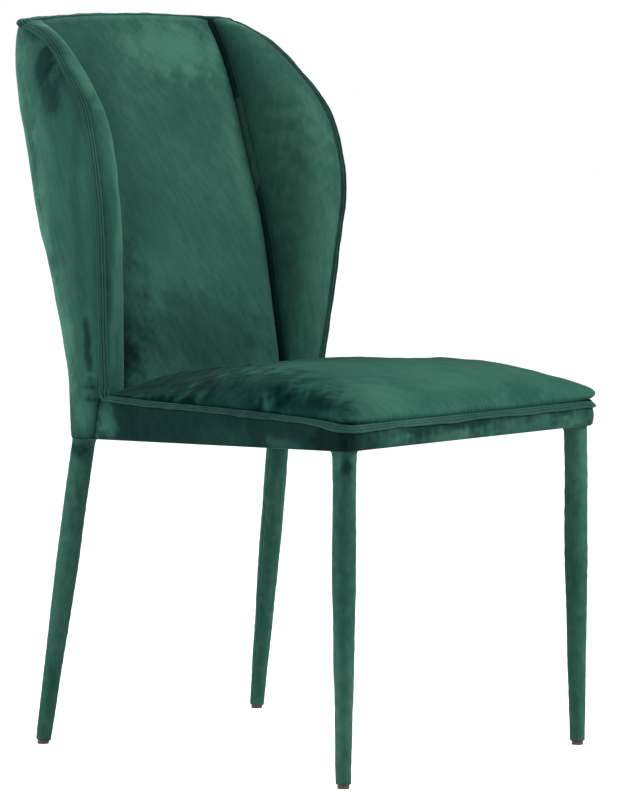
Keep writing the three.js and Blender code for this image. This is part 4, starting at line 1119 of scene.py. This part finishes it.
def padded_piece(name, w, h, depth, seams, cloth, tone, marks, node, seed, outer=False, swell=0.0):
    """A padded panel of the back. Its face is the back's surface, drawn in along the seams (left, right,
    bottom, top, each as a deep and a soft part), gathered a little beside them and softly uneven, but left as
    it is where the panel narrows and behind the bend of the sewn edge at the wing's foot; its top edge stands
    up in a low lip in front of the sewn edge there. Its colour has painted shade close to the seams and a
    painted highlight along the lip."""
    w, h = np.meshgrid(w, h)
    face = layer(w, h, 0.0, outer)
    inside = layer(w, h, depth(h) if callable(depth) else depth, outer)
    if swell:
        face = face + billow(face, inside, (3, 3), swell)
    normal = facing(face, inside)
    inward = np.zeros_like(w)
    distances = from_edges(face)
    runs = [distances[2], distances[2], distances[0], distances[0]]
    for number, (distance, run, (deep, soft)) in enumerate(zip(distances, runs, seams)):
        if deep:
            inward += drawn_in(distance, deep, soft)
            gathers = pleats(run, fold_length, seed + number) * (0.6 + 0.4 * np.sin(run * 60 + seed))
            inward += fold_depth * gathers * np.exp(-distance / 0.012) * (1 - np.exp(-distance / 0.002))
    calm = 1 - np.exp(-np.minimum.reduce(distances) / 0.02)
    inward -= calm * (0.0012 * waves(face, 0.13, seed) + 0.0004 * waves(face, 0.045, seed + 5))
    inward *= ease((distances[0] + distances[1] - 0.008) / 0.03)
    inward *= 1 - np.abs(w) ** 8 * np.exp(-(((h - 0.01) / 0.03) ** 2))
    thick = np.linalg.norm(face - inside, axis=-1)
    pile = nap_with_painted_light(face, tone, marks, seed)
    # Painted shade in the seams.
    for distance, (deep, soft) in zip(distances, seams):
        pile -= painted_seam_shade * np.exp(-distance / shade_reach) * (deep > 0)
    lip = np.sqrt(np.maximum(0, 1 - np.clip(distances[3] / lip_reach, 0, 1)))
    face = face - normal * np.minimum(inward, 0.8 * thick)[..., None]
    face[..., 2] += top_lip * lip
    # Painted highlight along the top edge's lip.
    pile += 0.2 * lip
    shell, pile = np.stack([face, inside]), np.stack([pile, pile])
    piece = new_piece(name, shell, closed_shell(face), cloth, [node], pile=pile)


above_seam = 1 - (1 - np.linspace(0, 1, 150)) ** 1.35
cushion_heights = np.concatenate([np.linspace(cushion_foot, 0, 8)[:-1], above_seam])
# Painted shade down the left side, where the left wing shades the panel, mixed with nap; a painted highlight
# near the top; darker low down.
centre_marks = [
    ((-0.10, 0.21, 0.74), (0.05, 0.09, 0.22), -0.12),
    ((-0.125, 0.15, 0.56), (0.035, 0.05, 0.12), -0.16),
    ((-0.14, 0.145, 0.49), (0.018, 0.04, 0.06), -0.30),
    ((0.0, 0.15, 0.50), (0.16, 0.06, 0.07), -0.20),
    ((0.06, 0.25, 0.865), (0.12, 0.06, 0.045), 0.27),
    ((0.125, 0.2, 0.72), (0.02, 0.09, 0.14), 0.08),
    ((0.02, 0.2, 0.66), (0.09, 0.09, 0.1), 0.04),
]
padded_piece(
    "centre_cushion",
    spread(121, -centre_share + gap_share, centre_share - gap_share),
    cushion_heights,
    padding,
    [seam_pull, seam_pull, no_pull, no_pull],
    velvet("velvet_centre", (0, 0.5, 0)),
    0.6,
    centre_marks,
    "back_cushion_centre",
    51,
    swell=0.004,
)
# The left wing has a painted highlight along its rolled front and painted shade near its edge; the right wing
# is lighter towards its outer edge, painted light mixed with nap.
wing_marks = {
    "left": [
        ((-0.20, 0.17, 0.83), (0.02, 0.06, 0.05), 0.26),
        ((-0.195, 0.11, 0.60), (0.012, 0.05, 0.2), 0.14),
        ((-0.215, 0.12, 0.55), (0.014, 0.05, 0.05), -0.12),
        ((-0.21, 0.12, 0.68), (0.02, 0.05, 0.05), -0.08),
    ],
    "right": [
        ((0.19, 0.12, 0.6), (0.04, 0.08, 0.2), 0.08),
        ((0.185, 0.15, 0.72), (0.03, 0.06, 0.14), 0.06),
        ((0.2, 0.12, 0.74), (0.02, 0.05, 0.16), 0.04),
        ((0.165, 0.2, 0.8), (0.03, 0.07, 0.12), 0.07),
        ((0.18, 0.13, 0.65), (0.05, 0.1, 0.2), 0.06),
        ((0.19, 0.2, 0.885), (0.03, 0.05, 0.02), 0.12),
    ],
}
wing_cloth = velvet("velvet_wing", (0, 0.2, 0))
for side, sign in (("left", -1), ("right", 1)):
    widths = np.sort(sign * spread(73, centre_share + gap_share, 1))
    left_pull, right_pull = (seam_pull, edge_pull) if sign > 0 else (edge_pull, seam_pull)
    padded_piece(
        f"wing_pad_{side}",
        widths,
        cushion_heights,
        padding,
        [left_pull, right_pull, no_pull, no_pull],
        wing_cloth,
        0.6,
        wing_marks[side],
        f"wing_cushion_{side}",
        61 + sign,
        swell=0.0025,
    )


# Covers of the sides and of the rear: velvet on thin foam, drawn down over the frame to the underside, with a
# seam behind each rear corner.
panel_wall = 0.009
rear_share = 0.22
rear_seam = centre_share + (1 - centre_share) * rear_share
cover_heights = np.concatenate([np.linspace(cover_foot, cushion_foot, 12)[:-1], cushion_heights])


def cover_depth(h):
    """Thickness of a cover: thin over the seat's frame, full above it."""
    share = np.clip((h - cover_foot) / (0.1 - cover_foot), 0, 1)
    return cover_wall + (panel_wall - cover_wall) * share


# On the left side panel: painted shade under the sewn edge at the top and beside its front edge, a painted
# highlight in a band along the rear towards the corner, and thin dark and light lines at the height of the
# seat's sewn edge; on the right, painted shade under the top edge and a lighter patch.
side_marks = {
    "left": [
        ((-0.205, 0.252, 0.85), (0.03, 0.012, 0.035), 0.06),
        ((-0.21, 0.218, 0.85), (0.03, 0.018, 0.04), -0.40),
        ((-0.212, 0.195, 0.815), (0.03, 0.022, 0.05), -0.28),
        ((-0.2, 0.24, 0.888), (0.03, 0.03, 0.012), -0.2),
        ((-0.2, 0.285, 0.85), (0.05, 0.03, 0.08), 0.25),
        ((-0.2, 0.262, 0.74), (0.05, 0.03, 0.09), 0.28),
        ((-0.2, 0.235, 0.62), (0.05, 0.03, 0.09), 0.28),
        ((-0.2, 0.205, 0.50), (0.05, 0.03, 0.08), 0.2),
        ((-0.215, 0.22, 0.70), (0.03, 0.03, 0.14), 0.14),
        ((-0.205, 0.19, 0.52), (0.03, 0.02, 0.12), 0.18),
        ((-0.22, 0.15, 0.66), (0.03, 0.012, 0.20), -0.12),
        ((-0.207, 0.148, 0.495), (0.03, 0.008, 0.045), -0.34),
        ((-0.205, 0.133, 0.44), (0.03, 0.02, 0.025), -0.12),
        ((-0.2, 0.16, 0.415), (0.03, 0.02, 0.02), 0.12),
        ((-0.206, 0.150, 0.453), (0.03, 0.016, 0.0025), -0.35),
        ((-0.206, 0.148, 0.468), (0.03, 0.012, 0.0030), 0.20),
        ((-0.206, 0.147, 0.437), (0.03, 0.013, 0.0025), -0.30),
    ],
    "right": [
        ((0.205, 0.21, 0.83), (0.04, 0.03, 0.05), -0.25),
        ((0.21, 0.19, 0.6), (0.04, 0.04, 0.2), 0.12),
    ],
}
cover_seams = [edge_pull, edge_pull, foot_pull, no_pull]
cover_cloth = velvet("velvet_cover", (0.3, 0, 0))
for side, sign in (("left", -1), ("right", 1)):
    widths = np.sort(sign * spread(80, rear_seam + gap_share, 1))
    padded_piece(
        f"side_cover_{side}",
        widths,
        cover_heights,
        cover_depth,
        cover_seams,
        cover_cloth,
        0.61,
        side_marks[side],
        f"side_panel_{side}",
        71 + sign,
        outer=True,
    )
# A painted highlight down the left rear corner; a lighter patch across the top and a darker one lower on the
# left.
rear_marks = [
    ((-0.2, 0.29, 0.75), (0.05, 0.05, 0.25), 0.3),
    ((0.0, 0.27, 0.80), (0.2, 0.06, 0.08), 0.12),
    ((-0.1, 0.22, 0.55), (0.08, 0.06, 0.1), -0.14),
]
padded_piece(
    "rear_cover",
    spread(161, -rear_seam + gap_share, rear_seam - gap_share, 0.4),
    cover_heights,
    cover_depth,
    cover_seams,
    velvet("velvet_rear", (0.3, 0.1, 0)),
    0.55,
    rear_marks,
    "outer_back_panel",
    81,
    outer=True,
)


# Sewn edges: one runs from the left top corner down the left wing, round the seat and up the right wing, and
# one along the top that fans round the top corners and meets it there. Two layers of velvet are folded
# outward and sewn through twice; round the seat the edge droops over the band.
strip_thick = flange_thick - 2 * gap
groove_shares = (0.32, 0.7)
strip_shares = np.concatenate([
    np.linspace(0, 0.2, 4),
    groove_shares[0] + np.linspace(-0.09, 0.09, 9),
    [0.46, 0.51, 0.56],
    groove_shares[1] + np.linspace(-0.09, 0.09, 9),
    1 - 0.15 * (1 - np.sin(np.linspace(0, np.pi / 2, 7))),
])
strip_relief = 1 - 0.55 * sum(np.exp(-(((strip_shares - g) / 0.05) ** 2)) for g in groove_shares)
strip_fold = np.sqrt(np.maximum(0, 1 - np.clip((strip_shares - 0.85) / 0.15, 0, 1) ** 2))


def strip_rings(point, out, near, far, seed, root):
    """Rings round a sewn edge: out along one face, over the fold and back along the other. Its half
    thickness swells between the lines of stitches, narrows in each of them and is round at the fold; root
    is its share at the seam."""
    along = unit(np.gradient(point, axis=0))
    out = unit(out - along * (out * along).sum(-1, keepdims=True))
    across = unit(np.cross(along, out))
    run = np.concatenate([[0], np.cumsum(np.linalg.norm(np.diff(point, axis=0), axis=-1))])
    shares = np.concatenate([strip_shares, strip_shares[-2::-1]])
    half = strip_thick / 2 * strip_relief * strip_fold * np.clip(root + strip_shares / 0.2, 0, 1)
    depth = np.concatenate([half, -half[-2::-1]])
    turn = 2 * np.pi * run
    swell = 1 + 0.05 * np.sin(turn / 0.013 + seed) + 0.05 * np.sin(turn / 0.031 + 2 * seed)
    sway = 0.0003 * np.sin(turn / 0.041 + seed) + 0.0004 * np.sin(turn / 0.11 + 3 * seed)
    ends = ease(np.minimum(run, run[-1] - run) / 0.01)
    width = near[:, None] + (far - near)[:, None] * shares
    lean = depth * (1 + (swell - 1) * ends)[:, None] + (sway * ends)[:, None] * shares
    rings = point[:, None] + width[..., None] * out[:, None] + lean[..., None] * across[:, None]
    return rings, run, across


def stitches(rings, run, across):
    """Rings round the thread of both lines of stitches, on both faces: short threads sunk in the grooves."""
    pitch, length, thread = 0.0034, 0.0026, 0.00028
    centres = np.arange(0.005, run[-1] - 0.005, pitch)
    paths = []
    for groove in groove_shares:
        column = int(np.argmin(np.abs(strip_shares - groove)))
        for face, sign in ((column, 1), (2 * len(strip_shares) - 2 - column, -1)):
            steps = centres[:, None] + np.array([-0.5, -0.3, 0.3, 0.5]) * length
            line = np.stack([np.interp(steps, run, rings[:, face, k]) for k in range(3)], axis=-1)
            normal = np.stack([np.interp(steps, run, across[:, k]) for k in range(3)], axis=-1)
            sink = np.array([-0.0002, 0.00012, 0.00012, -0.0002])
            paths.append(line + sign * sink[:, None] * normal)
    paths = np.concatenate(paths)
    return wire_rings(paths, thread * np.array([0.6, 1, 1, 0.6]))


def thread():
    look = Look("thread")
    twist = look.noise(1, 1, look.turned((2600, 2600, 900), (0, 0.6, 0)))
    tone = look.ramp(twist, [(0.3, (0.003, 0.018, 0.015)), (0.7, (0.008, 0.040, 0.031))])
    return look.surface(tone, 0.6 + twist * 0.1, look.bump(twist, 0.0001), Sheen_Weight=0.2)


green_thread = thread()
edge_cloth = velvet("velvet_edge", (0, 0, 0), (60, 60, 60))


def sewn_edge(name, path, nodes, tone, marks, seed, root=1.0):
    """Makes a sewn edge and the stitches on it from its path: points, outward ways, and how far from them its
    root and its fold lie."""
    rings, run, across = strip_rings(*path, seed, root)
    # Painted shade in the two lines of stitches and a painted highlight on the puffs between them.
    painted_groove_shade = 0.7 * (strip_relief - 0.85)
    painted_groove_shade = np.concatenate([painted_groove_shade, painted_groove_shade[-2::-1]])
    pile = nap_with_painted_light(rings, tone, marks, seed) + painted_groove_shade
    new_piece(name, rings, loft(rings), edge_cloth, nodes, crease=75, pile=pile)
    points, faces = many_lofts(stitches(rings, run, across))
    new_piece(f"{name}_stitches", points, faces, green_thread, crease=80)


def droop_path(distance):
    """Path of the seat's sewn edge at distances along the outline."""
    x, y, nx, ny = seat_outline(distance)
    droop = droop_at(x)
    point = np.stack([x - nx * cover_wall, y - ny * cover_wall, seam_height_at(y)], axis=-1)
    out = np.stack([nx * np.cos(droop), ny * np.cos(droop), -np.sin(droop)], axis=-1)
    near = 0.7 * strip_thick / 2 * np.tan(droop)
    past_corner = ease((np.abs(distance) - corner_split) / 0.08)
    far = front_flange_width + (side_flange_width - front_flange_width) * past_corner
    return point, out, near, far - wavy(distance)


turn_start = wing_foot_y - 0.024
turn_radius, turn_top = 0.011, 0.03
wing_root, top_root = 0.0035, 0.003  # how far the edge reaches in between the cushion and the cover
bend_root = 0.004  # how much further it reaches in round the bend
ear_setback = 0.008  # the top edge takes over from the wing's edge this far from the corner


def wing_path():
    """Path of the right wing's sewn edge: on the seat's side, round a quadratic bend, up the wing's seam."""
    low = [value[0] for value in droop_path(np.array([outline_distance(wing_foot_y - turn_radius)]))]
    start = [value[0] for value in droop_path(np.array([outline_distance(turn_start + gap)]))]
    top = edge_at(turn_top)
    bend_corner = np.array([(low[0][0] + top[0]) / 2, wing_foot_y, float(seam_height_at(wing_foot_y))])
    t = np.linspace(0, 1, 14)
    bend = bezier([low[0], bend_corner, top], t)
    lead = np.linspace(0, 1, 6)[:-1]
    h = 1 - (1 - np.linspace(0, 1, 230)[1:]) ** 1.25 * (1 - turn_top)
    point = np.concatenate([start[0] + (low[0] - start[0]) * lead[:, None], bend, edge_at(h)])
    rising = edge_frame(np.array(turn_top))[0]
    turning = low[1] + (rising - low[1]) * ease(t)[:, None]
    out = np.concatenate([start[1] + 0 * lead[:, None], turning, edge_frame(h)[0]])
    run = np.concatenate([[0], np.cumsum(np.linalg.norm(np.diff(point, axis=0), axis=-1))])
    past = run - run[len(lead)]
    near = low[2] - (wing_root + low[2]) * ease(past / 0.01)
    near = near - bend_root * np.exp(-(((past - 0.015) / 0.012) ** 2))
    far = side_flange_width + (flange_width - side_flange_width) * ease(run / 0.06)
    kept = run < run[-1] - ear_setback
    return point[kept], out[kept], near[kept], far[kept]


def mirrored(path):
    """The left half's path, from the ear down: the right one mirrored and turned round."""
    point, out, near, far = path
    flip = np.array([-1, 1, 1])
    return (point * flip)[::-1], (out * flip)[::-1], near[::-1], far[::-1]


edge_marks = [
    ((0.2, 0.1, 0.7), (0.1, 0.2, 0.25), -0.2),
    ((-0.19, 0.26, 0.90), (0.02, 0.02, 0.02), 0.08),
    ((-0.21, 0.21, 0.86), (0.03, 0.03, 0.03), -0.14),
    ((-0.235, -0.05, 0.44), (0.03, 0.16, 0.03), -0.16),
    ((-0.2, -0.3, 0.43), (0.05, 0.03, 0.03), 0.1),
    ((-0.12, -0.3, 0.43), (0.04, 0.03, 0.03), 0.12),
]
right_path = wing_path()
edge_end = outline_distance(turn_start)
seat_path = droop_path(steps_between(0.003 - edge_end, edge_end - 0.003, 0.0025))
whole_path = [np.concatenate(parts) for parts in zip(mirrored(right_path), seat_path, right_path)]
edge_nodes = [f"seat_flange_{place}" for place in ("front", "left", "right")]
edge_nodes += ["wing_flange_left", "wing_flange_right"]
sewn_edge("long_edge", whole_path, edge_nodes, 0.44, edge_marks, 4)

top_lean = math.radians(5)
top_lift = (strip_thick / 2 + gap) / math.cos(top_lean)


def top_half_path():
    """Right half of the path along the top edge, midway between the front and the outside. It lies back over
    the edge and fans round the top corner on a quadratic bend, down to the end of the wing's edge."""
    x = np.linspace(0, top_half - ear_setback, 110)
    w = np.linspace(0, 1, 400)
    front = front_point(w, np.ones_like(w))
    y = (np.interp(x, front[:, 0], front[:, 1]) + rear_y(x, np.ones_like(x))) / 2
    y = np.polyval(np.polyfit((x / top_half) ** 2, y, 3), (x / top_half) ** 2)
    z = back_base + back_height + crown_at(x, np.ones_like(x)) + top_lift
    point = np.stack([x, y, z], axis=-1)
    end, end_out = right_path[0][-1], right_path[1][-1]
    ahead = unit(end - right_path[0][-2])
    end = end + gap * ahead
    corner = np.array([top_half, float(end[1]) + ear_setback * ahead[1], float(z[-1])])
    t = np.linspace(0, 1, 20)[1:]
    bend = bezier([point[-1], corner, end], t)
    lying_out = np.array([0, math.cos(top_lean), math.sin(top_lean)])
    out = np.concatenate([0 * point + lying_out, lying_out + (end_out - lying_out) * ease(t)[:, None]])
    near = -np.concatenate([0 * x + top_root, top_root + (wing_root - top_root) * t])
    return np.concatenate([point, bend]), out, near, np.full(len(near), flange_width)


half_path = top_half_path()
top_path = [np.concatenate([left, right[1:]]) for left, right in zip(mirrored(half_path), half_path)]
sewn_edge("top_edge", top_path, ["top_flange"], 0.34, [], 6, 0.5)


# Floor and light: a white floor that fades into a white backdrop and keeps a faint shadow, with a strong lamp
# above the right front, a weak broad one from the left front, and one from the left behind the chair.
def floor_look():
    look = Look("floor")
    seen = look.node("ShaderNodeLightPath", output="Is Camera Ray")
    glow = look.node("ShaderNodeEmission", inputs={"Color": (1, 1, 1, 1), "Strength": 0.86})
    paint = look.node("ShaderNodeBsdfDiffuse", inputs={"Color": (0.82, 0.82, 0.82, 1)})
    both = look.node("ShaderNodeAddShader", inputs={0: glow, 1: paint})
    mixed = look.node("ShaderNodeMixShader", inputs={0: seen, 1: paint, 2: both})
    end = look.tree.nodes.new("ShaderNodeOutputMaterial")
    look.tree.links.new(mixed.socket, end.inputs["Surface"])
    return look.material


floor_mesh = bpy.data.meshes.new("floor")
reach = 14.0
corners = [(-reach, -reach, 0), (reach, -reach, 0), (reach, reach, 0), (-reach, reach, 0)]
floor_mesh.from_pydata(corners, [], [(0, 1, 2, 3)])
floor_mesh.materials.append(floor_look())
floor = bpy.data.objects.new("floor", floor_mesh)
bpy.context.scene.collection.objects.link(floor)

# Camera rays and mirrored or refracted ones see a white backdrop; all others get a weak, slightly blue sky.
world = bpy.data.worlds.new("studio")
bpy.context.scene.world = world
world.use_nodes = True
nodes, links = world.node_tree.nodes, world.node_tree.links
nodes.clear()
path = nodes.new("ShaderNodeLightPath")
camera_or_gloss = nodes.new("ShaderNodeMath")
camera_or_gloss.operation = "MAXIMUM"
links.new(path.outputs["Is Camera Ray"], camera_or_gloss.inputs[0])
links.new(path.outputs["Is Glossy Ray"], camera_or_gloss.inputs[1])
shown = nodes.new("ShaderNodeMath")
shown.operation = "MAXIMUM"
links.new(camera_or_gloss.outputs[0], shown.inputs[0])
links.new(path.outputs["Is Transmission Ray"], shown.inputs[1])
ambient = nodes.new("ShaderNodeBackground")
backdrop = nodes.new("ShaderNodeBackground")
mixer = nodes.new("ShaderNodeMixShader")
ambient.inputs["Color"].default_value = (0.94, 0.97, 1, 1)
ambient.inputs["Strength"].default_value = 0.3
backdrop.inputs["Color"].default_value = (1, 1, 1, 1)
backdrop.inputs["Strength"].default_value = 1
links.new(shown.outputs[0], mixer.inputs[0])
links.new(ambient.outputs[0], mixer.inputs[1])
links.new(backdrop.outputs[0], mixer.inputs[2])
links.new(mixer.outputs[0], nodes.new("ShaderNodeOutputWorld").inputs["Surface"])

lamps = [
    # name, place, size, power, colour
    ("key", (2.0, -3.2, 2.6), 1.6, 150, (1, 0.985, 0.96)),
    ("fill", (-3.4, -1.4, 1.9), 2.2, 22, (0.97, 0.99, 1)),
    ("rear", (-2.6, 2.4, 2.2), 1.8, 85, (1, 1, 1)),
]
for name, place, size, power, colour in lamps:
    lamp = bpy.data.lights.new(name, "AREA")
    lamp.shape = "SQUARE"
    lamp.size = size
    lamp.energy = power
    lamp.color = colour
    holder = bpy.data.objects.new(name, lamp)
    holder.location = place
    holder.rotation_mode = "QUATERNION"
    holder.rotation_quaternion = (Vector(place) - Vector((0, 0, 0.5))).to_track_quat("Z", "Y")
    bpy.context.scene.collection.objects.link(holder)

bpy.context.scene.view_settings.view_transform = "Standard"
